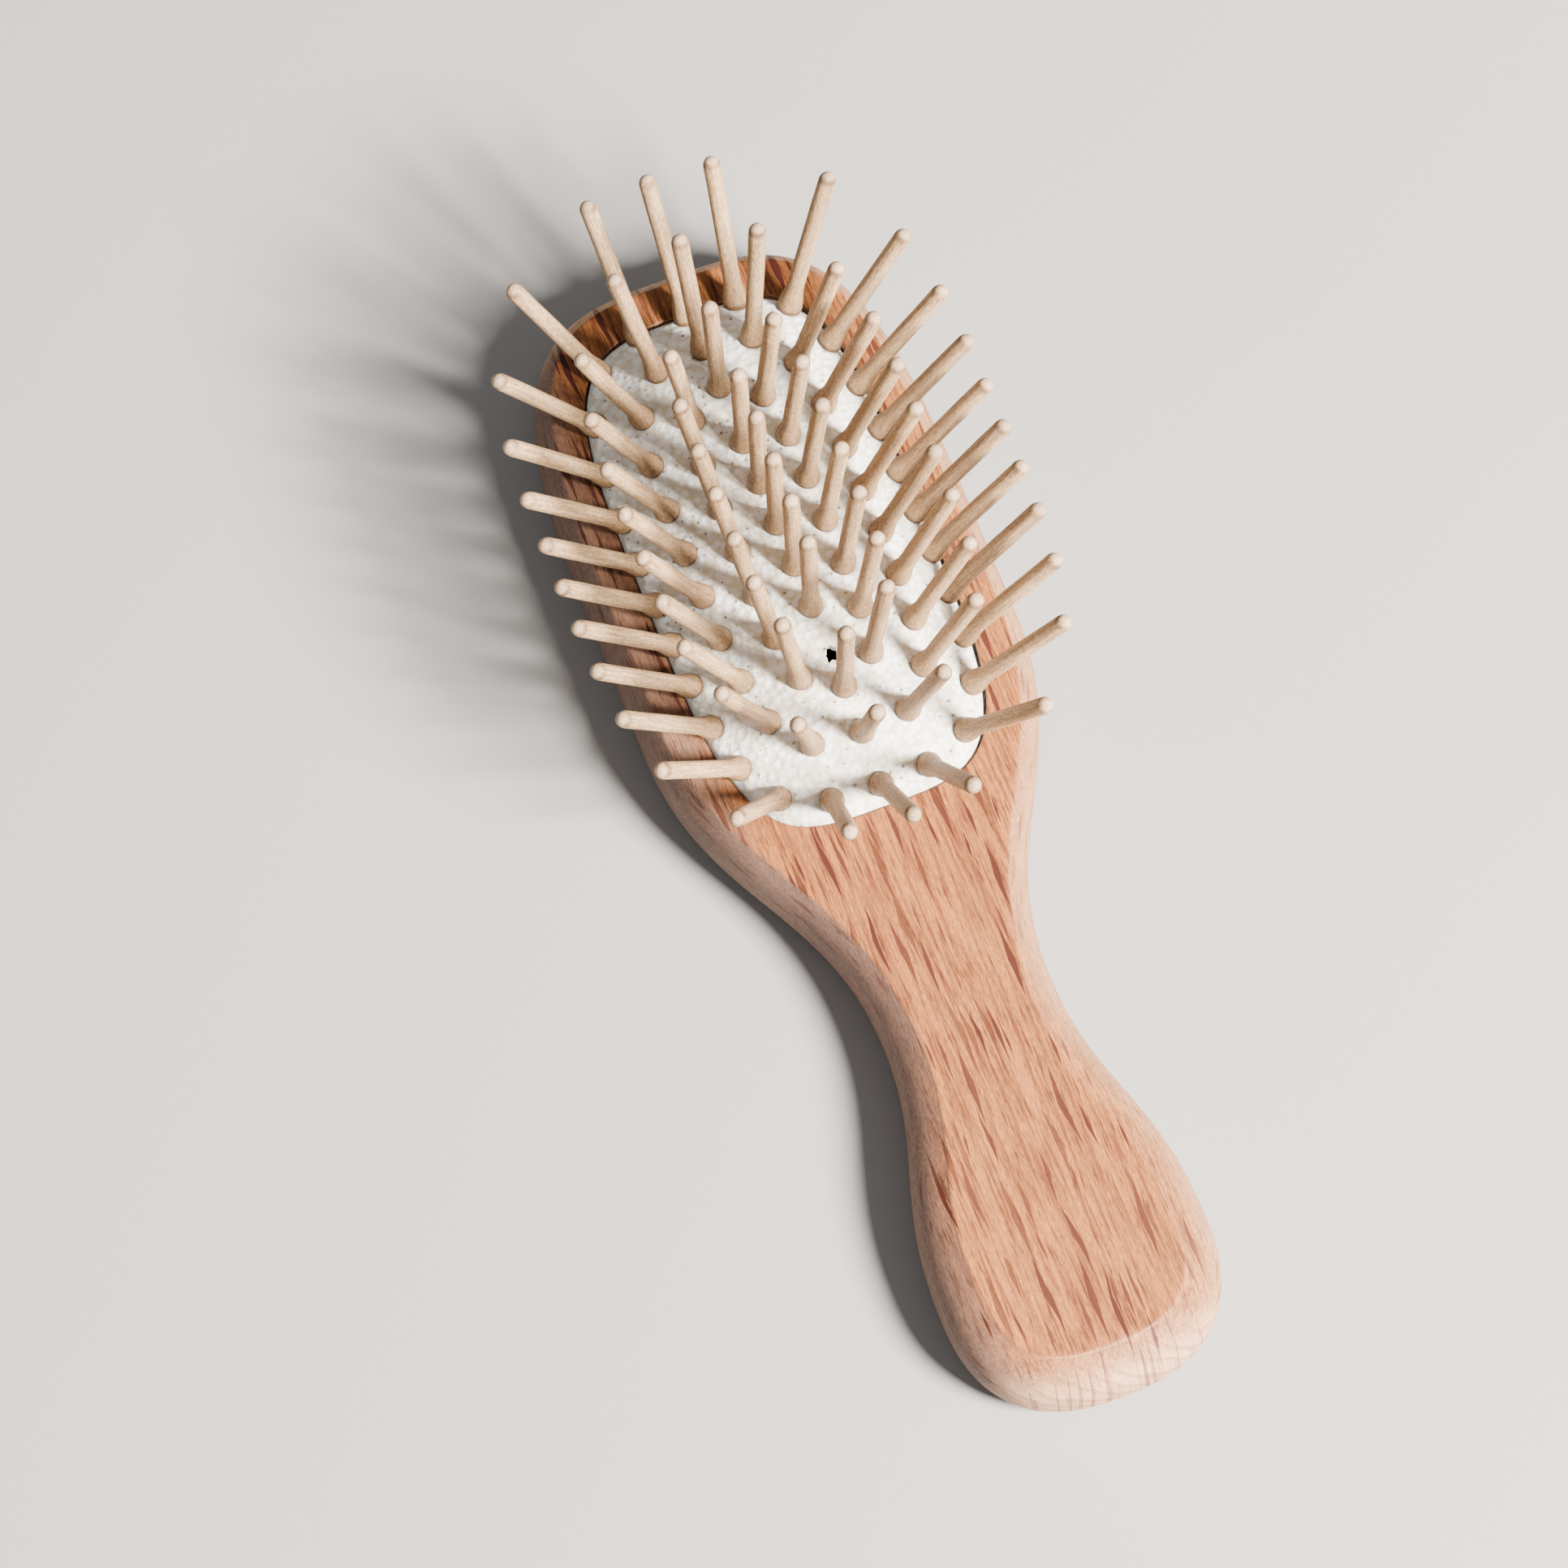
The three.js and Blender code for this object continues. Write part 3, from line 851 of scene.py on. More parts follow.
@dataclass(frozen=True)
class FeltFinish(Finish):
    """Natural rubber with a pressed felt face: off-white hairs over darker ground, with specks."""

    light: Colour = (0.97, 0.96, 0.93)
    ground: Colour = (0.74, 0.67, 0.50)
    speck: Colour = (0.10, 0.06, 0.025)
    specks: Flecks = Flecks(1.5, 1.3, 0.17, 0.55, sharpness=3.0)
    speck_share: float = 0.8
    hair_cover: float = 0.5
    tuft_cover: Ramp = (0.25, 0.45, 0.35, 1.0)
    scale_edges: Ramp = (0.42, 0.66, 0.0, 0.75)
    hair_relief: float = 0.12
    tuft_relief: float = 0.5
    scale_relief: float = 1.5
    relief_mm: float = 0.2
    sheen: float = 0.25

    def material(self) -> Material:
        """Builds the material.

        Returns:
            The material.
        """
        material, g, shader, position, _ = self.start()
        felt = g.place(HAIRS.tree(), Position=position).outputs
        hairs, tufts, scales = felt["Hairs"], felt["Tufts"], felt["Scales"]
        cover = g.remap(tufts, *self.tuft_cover)
        cover = g.math("ADD", g.math("MULTIPLY", hairs, self.hair_cover), cover)
        body = g.mix(g.math("MINIMUM", cover, 1.0), self.ground, self.light)
        body = g.mix(g.remap(scales, *self.scale_edges), body, self.ground)
        mark = g.math("MULTIPLY", self.specks.place(g, position), self.speck_share)
        g.tree.links.new(g.mix(mark, body, self.speck), shader.inputs["Base Color"])
        relief = g.math("MULTIPLY", hairs, self.hair_relief)
        relief = g.math("MULTIPLY_ADD", tufts, self.tuft_relief, relief)
        relief = g.math("MULTIPLY_ADD", scales, self.scale_relief, relief)
        self.bump(g, shader, relief, self.relief_mm)
        shader.inputs["Sheen Weight"].default_value = self.sheen
        return material


@dataclass(frozen=True)
class PlainFinish(Finish):
    """A plain matt surface for the floor, very slightly uneven in tone."""

    colour: Colour = (0.31, 0.303, 0.30)
    patch_scale: Colour = (0.01, 0.01, 0.01)
    patch_tone: Ramp = (0.3, 0.7, 0.98, 1.0)

    def material(self) -> Material:
        """Builds the material.

        Returns:
            The material.
        """
        material, g, shader, position, _ = self.start()
        patches = g.noise(g.vector_math("MULTIPLY", position, self.patch_scale), 2, 0.5)
        body = g.shade(self.colour, g.remap(patches, *self.patch_tone))
        g.tree.links.new(body, shader.inputs["Base Color"])
        return material


# --- The brush --------------------------------------------------------------------------------


@dataclass(frozen=True)
class Pocket:
    """The routed pocket and the dome that fills it, in millimetres from the pocket's own centre."""

    half_width: float = 16.85
    half_length: float = 32.5
    roundness: float = 3.8
    depth: float = 6.5
    groove_top: float = 2.0
    groove_height: float = 1.7
    groove_reach: float = 0.9
    dome_height: float = 5.03
    dome_steepness: float = 2.7
    rim_samples: int = 20000
    slope_step: float = 0.05

    @property
    def centre(self) -> Vector:
        """The pocket's centre on the body's top face, in millimetres in the brush's frame.

        Returns:
            The centre.
        """
        low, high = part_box("cushion_membrane")
        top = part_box("beech_body")[1].z
        return Vector((0, (low.y + high.y) / 2, top)) / MM

    def angles(self, count: int) -> np.ndarray:
        """Angles that space points evenly round the pocket's rim.

        Args:
            count: the number of points.

        Returns:
            The superellipse angle of each point.
        """
        fine = np.linspace(0, 2 * math.pi, self.rim_samples, endpoint=False)
        rim = self.ring(fine, 0)
        lengths = arc_lengths(np.vstack([rim, rim[:1]]))
        wanted = np.linspace(0, lengths[-1], count, endpoint=False)
        return np.interp(wanted, lengths, np.append(fine, 2 * math.pi))

    def ring(self, angles: np.ndarray, inset: float) -> np.ndarray:
        """Points on a ring inside the pocket's wall.

        Args:
            angles: the superellipse angles of the points.
            inset: the ring's distance from the wall.

        Returns:
            The points, one row each.
        """
        share = 2 / self.roundness
        c, s = np.cos(angles), np.sin(angles)
        x = (self.half_width - inset) * np.sign(c) * np.abs(c) ** share
        y = (self.half_length - inset) * np.sign(s) * np.abs(s) ** share
        return np.column_stack([x, y])

    def rim_share(self, x: float, y: float) -> float:
        """How far a place lies towards the wall.

        Args:
            x: the place across the brush.
            y: the place along the brush.

        Returns:
            A share from 0 on the dome's ridge to 1 at the wall, found by halving.
        """
        ridge = self.half_length - self.half_width
        low, high = SEARCH_RANGE
        for _ in range(SEARCH_STEPS):
            share = (low + high) / 2
            a = self.half_width * share
            outside = (abs(x) / a) ** self.roundness + (abs(y) / (ridge + a)) ** self.roundness
            low, high = (share, high) if outside > 1 else (low, share)
        return high

    def height(self, share: np.ndarray | float) -> np.ndarray | float:
        """The dome's height above the body's top face."""
        return self.dome_height * (1 - np.asarray(share) ** self.dome_steepness)

    def skin(self, x: float, y: float) -> float:
        """The height of the cushion's skin above the body's top face at a place."""
        return float(self.height(self.rim_share(x, y)))

    def spot(self, x: float, y: float) -> tuple[Vector, Vector]:
        """A place on the cushion's skin and the direction square to it, from the pocket's centre.

        Args:
            x: the place across the brush.
            y: the place along the brush.

        Returns:
            The place and the unit normal.
        """
        h = self.slope_step
        slope_x = (self.skin(x + h, y) - self.skin(x - h, y)) / (2 * h)
        slope_y = (self.skin(x, y + h) - self.skin(x, y - h)) / (2 * h)
        return Vector((x, y, self.skin(x, y))), Vector((-slope_x, -slope_y, 1)).normalized()


@dataclass
class BeechBody:
    """The one-piece wooden body: head with its pocket, neck and handle."""

    pocket: Pocket
    finish: BeechFinish
    thickness: float = 11.0
    head_half_width: float = 22.8
    head_length: float = 38.9
    head_roundness: float = 3.4
    head_straight: float = 14.0
    neck_half_width: float = 10.15
    neck_distance: float = 57.0
    handle_half_width: float = 15.8
    handle_widest: float = 31.5
    handle_tip: float = 15.7
    handle_roundness: float = 2.5
    back_edge_inset: float = 3.0
    head_edge_inset: float = 2.0
    handle_edge_inset: float = 4.0
    widest_height: float = 0.42
    shoulder_hold: float = 0.46
    neck_hold_to_head: float = 0.44
    neck_hold_to_handle: float = 0.41
    handle_hold: float = 0.46
    edge_change: Span = (0.7, 1.3)
    curve_steps: int = 160
    back_steps: int = 12
    top_steps: int = 15
    outline_points: int = 720
    pocket_points: int = 420
    edge_radius: float = 0.22
    back_edge: Span = (0.6, 0.2)
    top_edge: tuple[Span, ...] = ((0.12, 0.1), (0.3, 0.02), (0.5, 0.0), (0.9, 0.0))

    def outline(self) -> np.ndarray:
        """The body's outline from above, anticlockwise from the head's far tip.

        Returns:
            Evenly spaced points, in millimetres from the pocket's centre.
        """
        steps = self.curve_steps
        half, handle_half = self.head_half_width, self.handle_half_width
        neck, neck_half = -self.neck_distance, self.neck_half_width
        widest = neck - self.handle_widest
        run = self.neck_distance - self.head_straight
        far = superellipse_quarter(half, self.head_length, self.head_roundness, steps)
        shoulder = (
            (half, -self.head_straight),
            (half, -self.head_straight - self.shoulder_hold * run),
            (neck_half, neck + self.neck_hold_to_head * run),
            (neck_half, neck),
        )
        flare = (
            (neck_half, neck),
            (neck_half, neck - self.neck_hold_to_handle * self.handle_widest),
            (handle_half, widest + self.handle_hold * self.handle_widest),
            (handle_half, widest),
        )
        shoulder, flare = bezier(shoulder, steps), bezier(flare, steps)
        tip = superellipse_quarter(handle_half, self.handle_tip, self.handle_roundness, steps)
        tip = (tip * (1, -1) + (0, widest))[::-1]
        right = np.vstack([far, shoulder, flare[1:], tip[1:]])
        left = right[1:-1] * (-1, 1)
        return resample_closed(np.vstack([left, right[::-1]]), self.outline_points)

    def rings(self, outline: np.ndarray) -> list[Ring]:
        """The body's side as rings from the back's flat to the top's flat.

        Args:
            outline: the widest outline.

        Returns:
            Each ring's points and its height.
        """
        start, end = (share * self.neck_distance for share in self.edge_change)
        share = smooth(np.clip((-outline[:, 1] - start) / (end - start), 0, 1))
        top_inset = self.head_edge_inset + (self.handle_edge_inset - self.head_edge_inset) * share
        middle = self.thickness * self.widest_height
        insets = (self.back_edge_inset + extra for extra in self.back_edge)
        rings = [(move_inwards(outline, inset), 0.0) for inset in insets]
        for step in np.linspace(0, 1, self.back_steps):
            z = middle * (1 - math.cos(step * math.pi / 2)) if step < 1 else middle
            rings.append((move_inwards(outline, self.back_edge_inset * (1 - z / middle) ** 3), z))
        for step in np.linspace(0, 1, self.top_steps)[1:]:
            lift = math.sin(step * math.pi / 2)
            z = middle + (self.thickness - self.edge_radius - middle) * lift
            rings.append((move_inwards(outline, top_inset * lift**3), z))
        for inset, drop in self.top_edge:
            rings.append((move_inwards(outline, top_inset + inset), self.thickness - drop))
        return rings

    def pocket_rings(self) -> list[Ring]:
        """The pocket's lip, wall, groove and floor.

        Returns:
            The rings from the top down.
        """
        p = self.pocket
        angles = p.angles(self.pocket_points)
        top = self.thickness
        groove_floor = top - p.groove_top - p.groove_height
        steps = (
            (-0.7, top),
            (-0.3, top),
            (-0.12, top - 0.03),
            (-0.03, top - 0.1),
            (0, top - 0.25),
            (0, top - 1.2),
            (0, top - p.groove_top),
            (-p.groove_reach, top - p.groove_top),
            (-p.groove_reach, groove_floor),
            (0, groove_floor),
            (0, top - p.depth),
            (1.0, top - p.depth),
        )
        return [(p.ring(angles, inset), z) for inset, z in steps]

    def mesh(self) -> Mesh:
        """Builds the body's mesh.

        Returns:
            The mesh, in metres in the brush's frame.
        """
        bm = bmesh.new()
        centre = self.pocket.centre
        back, top = join_rings(bm, self.rings(self.outline()), centre, turned=False)
        lip, floor = join_rings(bm, self.pocket_rings(), centre, turned=True)
        for loops in ((top, lip), (back,), (floor,)):
            edges = [edge for loop in loops for edge in loop_edges(bm, loop)]
            bmesh.ops.triangle_fill(bm, use_beauty=True, edges=edges)
        bmesh.ops.recalc_face_normals(bm, faces=bm.faces)
        mesh = bpy.data.meshes.new("beech")
        bm.to_mesh(mesh)
        bm.free()
        mesh.shade_smooth()
        mesh.set_sharp_from_angle(angle=WOOD_SHARP_ANGLE)
        return mesh

    def build(self) -> Object:
        """Builds the body as a piece of the brush.

        Returns:
            The piece.
        """
        piece = add_piece("turned_beech_body", self.mesh(), self.finish.material())
        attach(piece, BASE_BODY)
        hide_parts("beech_body")
        log.info("%s: %.1f mm thick", piece.name, self.thickness)
        return piece


class Zone(Enum):
    """Where a pin stands in the cushion."""

    OUTER = "outer"
    MIDDLE = "middle"
    INNER = "inner"


@dataclass(frozen=True)
class PinSpot:
    """One pin's name, its place and direction from the pocket's centre, and its CAD node."""

    name: str
    place: Vector
    direction: Vector
    node: str
    zone: Zone


@dataclass(frozen=True)
class PinRing:
    """A ring of pins, by its insets from the pocket's wall.

    The pins between the head's tip and ease_end of the way round are eased along the ring.
    """

    pins: int
    side: float
    end: float
    ease: float
    ease_end: float = 0.72

    def places(self, pocket: Pocket) -> list[tuple[float, float]]:
        """The pins' places, clockwise from the head's far end.

        Args:
            pocket: the pocket that the ring follows.

        Returns:
            Each pin's x and y from the ring's centre.
        """
        a, b = pocket.half_width - self.side, pocket.half_length - self.end
        right = superellipse_quarter(a, b, pocket.roundness, 400)
        half = np.vstack([right, (right * (1, -1))[::-1][1:]])
        lengths = arc_lengths(half)
        share = np.linspace(0, 1, self.pins // 2 + 1)
        turn = np.minimum(share / self.ease_end, 1) * math.pi
        wanted = lengths[-1] * share + self.ease * np.sin(turn) ** 2
        x, y = np.interp(wanted, lengths, half[:, 0]), np.interp(wanted, lengths, half[:, 1])
        x[0] = x[-1] = 0
        left = list(zip(-x[1:-1], y[1:-1]))[::-1]
        return [*zip(x, y), *left]


@dataclass
class PinField:
    """Where all the pins stand: two rings of single pins and rows of three inside them."""

    pocket: Pocket
    outer: PinRing = PinRing(28, 1.35, 1.75, 1.95)
    middle: PinRing = PinRing(22, 6.15, 7.4, 0.6)
    inner: PinRing = PinRing(16, 11.55, 12.8, 0.0)
    shift: float = 0.45
    centre_pins: int = 5
    centre_pitch: float = 5.4
    centre_shift: float = 1.95

    def spots(self) -> list[PinSpot]:
        """Lists every pin.

        Returns:
            The pins, outer ring first.
        """
        found = []
        for zone, ring in ((Zone.OUTER, self.outer), (Zone.MIDDLE, self.middle)):
            for i, place in enumerate(ring.places(self.pocket), 1):
                node = f"{zone.value}_pin_{i:02d}"
                found.append(self.spot(f"{zone.value}_{i:02d}", place, node, zone))
        inner = self.inner.places(self.pocket)
        half = self.inner.pins // 2
        steps = [(self.centre_pins - 1) / 2 - k for k in range(self.centre_pins)]
        line = [(0.0, self.centre_shift - self.shift + s * self.centre_pitch) for s in steps]
        for k, middle in enumerate([inner[0], *line, inner[half]]):
            row = {"left": inner[self.inner.pins - 1 - k], "middle": middle, "right": inner[k + 1]}
            node = f"inner_pin_row_{k + 1}"
            for side, place in row.items():
                found.append(self.spot(f"inner_{k + 1}_{side}", place, node, Zone.INNER))
        return found

    def spot(self, name: str, place: tuple[float, float], node: str, zone: Zone) -> PinSpot:
        """Stands one pin on the cushion's skin."""
        where, direction = self.pocket.spot(place[0], place[1] + self.shift)
        return PinSpot(f"pin_{name}", where, direction, node, zone)


@dataclass
class Cushion:
    """The domed rubber skin with its felt face, its raised lips round the pins and its vent."""

    pocket: Pocket
    finish: FeltFinish
    spots: list[PinSpot]
    wall: float = 1.3
    clearance: float = 0.3
    bead_width: float = 1.0
    inside_end: float = 0.86
    inside_rings: int = 10
    around: int = 560
    ring_pitch: float = 0.28
    face_inset: float = 1.0
    lip_height: float = 0.24
    lip_radius: float = 1.75
    lip_width: float = 0.35
    second_lip: Span = (2.2, 0.4)
    ripple: float = 0.05
    ripple_scale: float = 0.55
    offset: tuple[float, float] = (-0.13, -0.15)
    vent_place: float = -14.8
    vent_radius: float = 1.0
    vent_corners: int = 15
    vent_ragged: Span = (0.5, 1.35)
    seed: int = 3

    def profile(self) -> list[tuple[float, float, bool]]:
        """The skin's section as insets from the pocket's wall and heights above the top face.

        Returns:
            Inset, height and whether the ring is on the felt face, from the inside's ridge, round
            the rim and over to the outside's ridge.
        """
        p = self.pocket
        bead_floor = -p.groove_top - p.groove_height + self.clearance
        bead_top = -p.groove_top - self.clearance
        reach = -(p.groove_reach - self.clearance)
        inner = self.clearance + self.bead_width
        inside = [
            (p.half_width * (1 - share), float(p.height(share)) - self.wall, False)
            for share in np.linspace(0, self.inside_end, self.inside_rings)
        ]
        rim = [
            (inner, -self.wall - 0.4, False),
            (inner, bead_floor, False),
            (reach, bead_floor, False),
            (reach, bead_top, False),
            (0.24, bead_top, False),
            (0.25, -1.3, False),
            (0.27, -0.7, False),
            (0.32, -0.25, False),
            (0.44, 0.12, False),
            (0.66, 0.44, False),
        ]
        count = int((p.half_width - self.face_inset) / self.ring_pitch)
        shares = np.linspace(1 - self.face_inset / p.half_width, 0, count)
        face = [(p.half_width * (1 - share), float(p.height(share)), True) for share in shares]
        return [*inside, *rim, *face]

    def relief(self, points: np.ndarray) -> np.ndarray:
        """How far the felt face stands proud: two lips round each pin, and soft unevenness.

        Args:
            points: places on the face, from the pocket's centre.

        Returns:
            One height for each place.
        """
        lift = np.zeros(len(points))
        for spot in self.spots:
            offset = points - np.array(spot.place)
            direction = np.array(spot.direction)
            from_axis = offset - np.outer(offset @ direction, direction)
            radius = np.linalg.norm(from_axis, axis=1)
            for steps_out, share in ((0.0, 1.0), self.second_lip):
                distance = (radius - self.lip_radius) / self.lip_width - steps_out
                lift += share * self.lip_height * np.exp(-(distance**2))
        soft = [noise.fractal(Vector(q) * self.ripple_scale, 0.7, 2.1, 4) for q in points]
        return lift + self.ripple * np.array(soft)

    def mesh(self) -> Mesh:
        """Builds the cushion's mesh.

        Returns:
            The mesh, in metres in the brush's frame.
        """
        angles = self.pocket.angles(self.around)
        rows, on_face = [], []
        for inset, z, face in self.profile():
            ring = self.pocket.ring(angles, inset) + np.array(self.offset)
            rows.append(np.column_stack([ring, np.full(len(ring), z)]))
            on_face.append(np.full(len(ring), face))
        points, on_face = np.vstack(rows), np.concatenate(on_face)
        points[on_face, 2] += self.relief(points[on_face])
        centre = np.array(self.pocket.centre)
        faces = []
        for r in range(len(rows) - 1):
            faces += ring_faces(self.around, r * self.around, (r + 1) * self.around)
        mesh = bpy.data.meshes.new("cushion")
        mesh.from_pydata(((points + centre) * MM).tolist(), [], faces)
        bm = bmesh.new()
        bm.from_mesh(mesh)
        bmesh.ops.remove_doubles(bm, verts=bm.verts, dist=1e-7)
        bmesh.ops.recalc_face_normals(bm, faces=bm.faces)
        bm.to_mesh(mesh)
        bm.free()
        return mesh

    def vent_cutter(self) -> Mesh:
        """Makes the ragged prism that cuts the vent through the skin.

        Returns:
            The prism, in metres in the brush's frame.
        """
        chance = random.Random(self.seed)
        centre = self.pocket.centre + Vector((0, self.vent_place, 0))
        corners = []
        for k in range(self.vent_corners):
            angle = 2 * math.pi * k / self.vent_corners
            radius = self.vent_radius * chance.uniform(*self.vent_ragged)
            corners.append((radius * math.cos(angle), radius * math.sin(angle)))
        top = centre.z + 2 * self.pocket.dome_height
        bm = bmesh.new()
        low, high = join_rings(bm, [(corners, centre.z), (corners, top)], centre, turned=False)
        bm.faces.new(low[::-1])
        bm.faces.new(high)
        mesh = bpy.data.meshes.new("vent")
        bm.to_mesh(mesh)
        bm.free()
        return mesh

    def cut_vent(self, piece: Object) -> None:
        """Cuts the vent through the cushion's skin for good.

        Args:
            piece: the cushion.
        """
        cutter = add_piece("vent", self.vent_cutter(), piece.data.materials[0])
        cut = piece.modifiers.new("vent", "BOOLEAN")
        cut.object, cut.operation, cut.solver = cutter, "DIFFERENCE", "EXACT"
        evaluated = piece.evaluated_get(bpy.context.evaluated_depsgraph_get())
        mesh = bpy.data.meshes.new_from_object(evaluated)
        piece.modifiers.clear()
        piece.data = mesh
        bpy.data.objects.remove(cutter)
        mesh.shade_smooth()
        mesh.set_sharp_from_angle(angle=SHARP_ANGLE)

    def build(self) -> Object:
        """Builds the cushion as a piece of the brush.

        Returns:
            The piece.
        """
        piece = add_piece("felt_faced_cushion", self.mesh(), self.finish.material())
        self.cut_vent(piece)
        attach(piece, BASE_BODY)
        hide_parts("cushion_membrane")
        log.info("%s: %d faces", piece.name, len(piece.data.polygons))
        return piece


@dataclass
class Pins:
    """The turned pins. Each has a foot and a neck under the rubber and a flared collar on it."""

    pocket: Pocket
    finish: PinFinish
    spots: list[PinSpot]
    length: float = 20.0
    radius: float = 1.0
    collar_radius: float = 1.45
    collar_length: float = 3.6
    neck_radius: float = 0.6
    foot_radius: float = 1.2
    foot_top: float = -1.6
    foot_height: float = 1.0
    belt: float = 0.75
    tip_height: float = 1.15
    thickness_wobble: float = 0.012
    lean_wobble: float = 0.03
    wobble_rates: Span = (0.9, 0.2)
    ring_heights: tuple[float, ...] = (0.35, 0.55, 0.75, 0.9)
    sides: int = 28
    seed: int = 7

    def profile(self) -> list[tuple[float, float]]:
        """One pin's profile, from the middle of its foot to its tip.

        Returns:
            Radius and height above the cushion's skin.
        """
        bottom = self.foot_top - self.foot_height
        lower = [
            (0.0, bottom),
            (self.foot_radius - 0.15, bottom),
            (self.foot_radius, bottom + 0.15),
            (self.foot_radius, self.foot_top),
            (self.neck_radius, self.foot_top),
            (self.neck_radius, -0.35),
            (self.collar_radius - 0.25, -0.3),
            (self.collar_radius - 0.08, -0.02),
            (self.collar_radius, 0.35),
            (self.collar_radius - 0.02, self.belt),
        ]
        flare = []
        widest = self.collar_radius - 0.02
        for step in np.linspace(0, 1, 8)[1:]:
            radius = widest - (widest - self.radius) * smooth(step)
            flare.append((radius, self.belt + (self.collar_length - self.belt) * step))
        shaft = [(self.radius, self.length * share) for share in self.ring_heights]
        tip = []
        for step in np.linspace(0, 1, 9):
            angle = step * math.pi / 2
            radius = self.radius * math.cos(angle)
            drop = self.tip_height * self.radius * (1 - math.sin(angle))
            tip.append((radius, self.length - drop))
        return [*lower, *flare, *shaft, *tip[:-1], (0.0, self.length)]

    def mesh(self, name: str, chance: random.Random) -> Mesh:
        """Turns one pin, with a slight wobble of its own.

        Args:
            name: the mesh's name.
            chance: the source of the wobble.

        Returns:
            The mesh, in metres along +Z from the cushion's skin.
        """
        profile = self.profile()
        phase = [chance.uniform(0, 2 * math.pi) for _ in range(3)]
        points, faces = [], []
        quick, slow = self.wobble_rates
        angles = [2 * math.pi * k / self.sides for k in range(self.sides)]
        for radius, z in profile[1:-1]:
            thick = radius * (1 + self.thickness_wobble * math.sin(quick * z + phase[0]))
            lean = [self.lean_wobble * (math.sin(slow * z + p) - math.sin(p)) for p in phase[1:]]
            for angle in angles:
                x, y = thick * math.cos(angle) + lean[0], thick * math.sin(angle) + lean[1]
                points.append((x * MM, y * MM, z * MM))
        for r in range(len(profile) - 3):
            faces += ring_faces(self.sides, r * self.sides, (r + 1) * self.sides)
        last = (len(profile) - 3) * self.sides
        centre_x = sum(p[0] for p in points[last:]) / self.sides
        centre_y = sum(p[1] for p in points[last:]) / self.sides
        points += [(0.0, 0.0, profile[0][1] * MM), (centre_x, centre_y, profile[-1][1] * MM)]
        foot, tip = len(points) - 2, len(points) - 1
        for k in range(self.sides):
            following = (k + 1) % self.sides
            faces.append((foot, following, k))
            faces.append((tip, last + k, last + following))
        mesh = bpy.data.meshes.new(name)
        mesh.from_pydata(points, [], faces)
        mesh.shade_smooth()
        mesh.set_sharp_from_angle(angle=SHARP_ANGLE)
        return mesh

    def build(self) -> list[Object]:
        """Builds every pin as a piece of the brush.

        Returns:
            The pieces.
        """
        chance = random.Random(self.seed)
        material = self.finish.material()
        made = []
        for spot in self.spots:
            piece = add_piece(spot.name, self.mesh(spot.name, chance), material)
            piece.rotation_mode = "QUATERNION"
            turn = Quaternion((0, 0, 1), chance.uniform(0, 2 * math.pi))
            piece.rotation_quaternion = Vector((0, 0, 1)).rotation_difference(spot.direction) @ turn
            piece.location = (spot.place + self.pocket.centre) * MM
            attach(piece, spot.node)
            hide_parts(spot.node)
            made.append(piece)
            log.info("%s: %s pin on %s", piece.name, spot.zone.value, spot.node)
        return made


# --- The setting ------------------------------------------------------------------------------


def heading(azimuth: float, elevation: float) -> Vector:
    """The direction of a place seen from the brush.

    Args:
        azimuth: degrees to the right of the handle's own direction, -Y.
        elevation: degrees above the floor.

    Returns:
        The unit direction.
    """
    turn, rise = math.radians(azimuth), math.radians(elevation)
    level = math.cos(rise)
    return Vector((level * math.sin(turn), -level * math.cos(turn), math.sin(rise)))


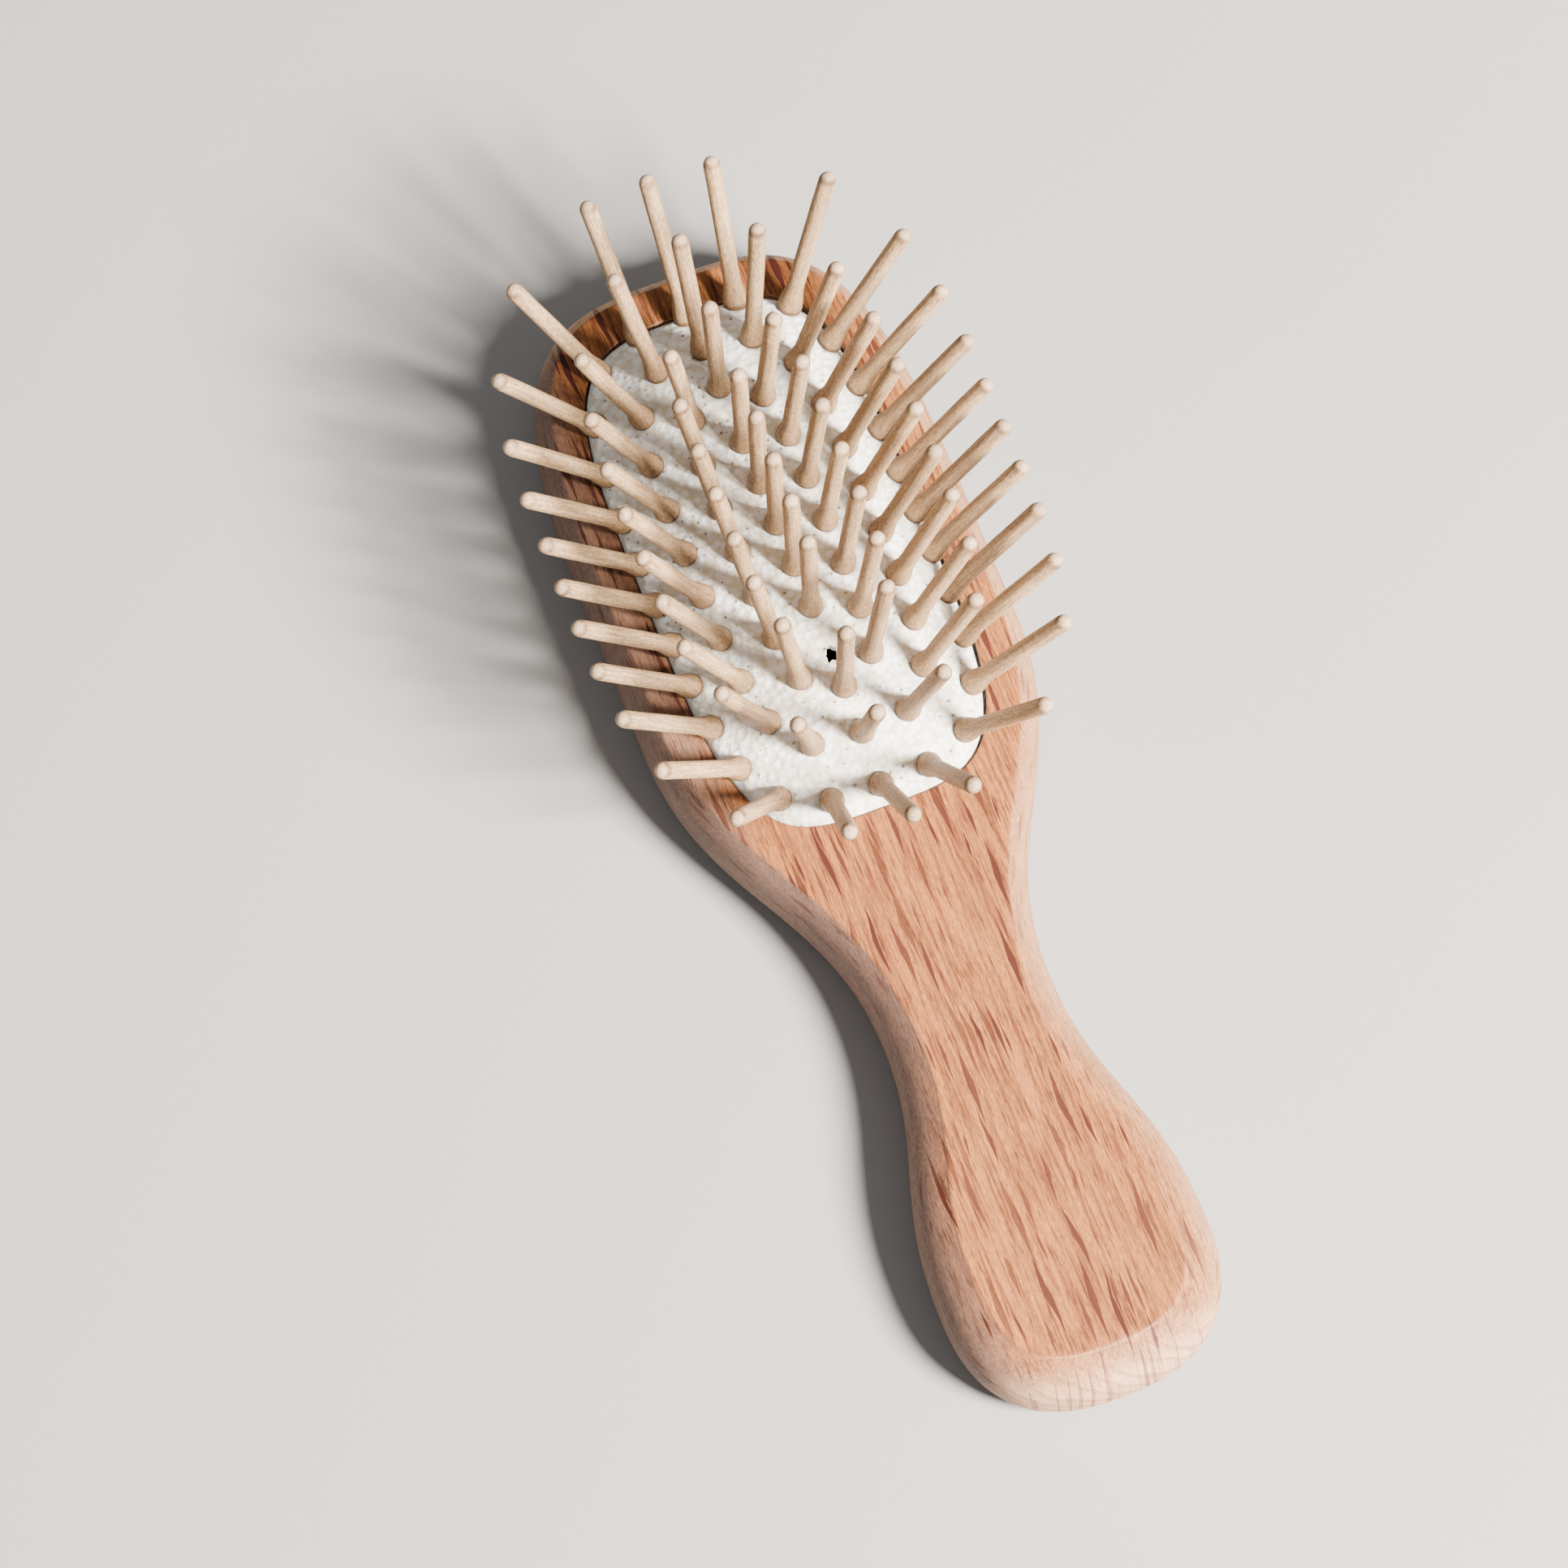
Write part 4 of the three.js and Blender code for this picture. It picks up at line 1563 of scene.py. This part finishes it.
@dataclass
class Setting:
    """The floor, the light and the camera."""

    pocket: Pocket
    floor_finish: PlainFinish
    dome_top: float = 5.03
    lens_mm: float = 167.7
    sensor_mm: float = 36.0
    azimuth: float = -18.108
    elevation: float = 69.618
    roll: float = -3.179
    distance: float = 818.31
    aim_x: float = -10.54
    aim_y: float = -27.62
    key_azimuth: float = 39.0
    key_elevation: float = 42.0
    key_distance: float = 900.0
    key_size: float = 270.0
    key_power: float = 82.0
    key_colour: Colour = (1.0, 0.94, 0.86)
    sky: Colour = (1.0, 1.0, 1.0)
    sky_strength: float = 0.43
    floor_half_m: float = 3.0

    def floor(self) -> Object:
        """Lays the floor that the brush's back rests on.

        Returns:
            The floor.
        """
        bm = bmesh.new()
        bmesh.ops.create_grid(bm, x_segments=8, y_segments=8, size=self.floor_half_m)
        mesh = bpy.data.meshes.new("floor")
        bm.to_mesh(mesh)
        bm.free()
        floor = add_piece("floor", mesh, self.floor_finish.material())
        return floor

    def lights(self) -> None:
        """Sets the soft key light and the pale surroundings."""
        lamp = bpy.data.lights.new("key", "AREA")
        lamp.shape = "DISK"
        lamp.size = self.key_size * MM
        lamp.energy = self.key_power
        lamp.color = self.key_colour
        key = bpy.data.objects.new("key", lamp)
        towards = heading(self.key_azimuth, self.key_elevation)
        key.location = towards * self.key_distance * MM
        key.rotation_mode = "QUATERNION"
        key.rotation_quaternion = towards.to_track_quat("Z", "Y")
        bpy.context.scene.collection.objects.link(key)
        world = bpy.data.worlds.new("studio")
        world.use_nodes = True
        background = world.node_tree.nodes["Background"]
        background.inputs["Color"].default_value = (*self.sky, 1)
        background.inputs["Strength"].default_value = self.sky_strength
        bpy.context.scene.world = world

    def camera(self) -> Object:
        """Sets up the camera.

        Returns:
            The camera, which is the scene's own.
        """
        lens = bpy.data.cameras.new("camera")
        lens.lens = self.lens_mm
        lens.sensor_width = self.sensor_mm
        lens.clip_start, lens.clip_end = 0.01, 20
        camera = bpy.data.objects.new("camera", lens)
        bpy.context.scene.collection.objects.link(camera)
        back = heading(self.azimuth, self.elevation)
        aim = self.pocket.centre + Vector((self.aim_x, self.aim_y, self.dome_top))
        right = (-back).cross(Vector((0, 0, 1))).normalized()
        up = right.cross(-back)
        roll = math.radians(self.roll)
        turned_right = right * math.cos(roll) + up * math.sin(roll)
        turned_up = up * math.cos(roll) - right * math.sin(roll)
        axes = Matrix((turned_right, turned_up, back)).transposed()
        camera.matrix_world = Matrix.Translation((aim + back * self.distance) * MM) @ axes.to_4x4()
        bpy.context.scene.camera = camera
        return camera

    def build(self) -> None:
        """Builds the whole setting."""
        self.camera()
        self.lights()
        self.floor()
        log.info("setting: floor, key light, surroundings and camera")


def main() -> None:
    """Builds the setting and the brush."""
    logging.basicConfig(level=logging.INFO, format="%(name)s %(message)s")
    pocket = Pocket()
    spots = PinField(pocket).spots()
    Setting(pocket, PlainFinish("floor", 0.9, 0.2)).build()
    BeechBody(pocket, BeechFinish("steamed beech", 0.66, 0.3)).build()
    Cushion(pocket, FeltFinish("pressed felt", 0.95, 0.2), spots).build()
    Pins(pocket, PinFinish("turned maple", 0.6, 0.35), spots).build()


if __name__ == "__main__":
    main()
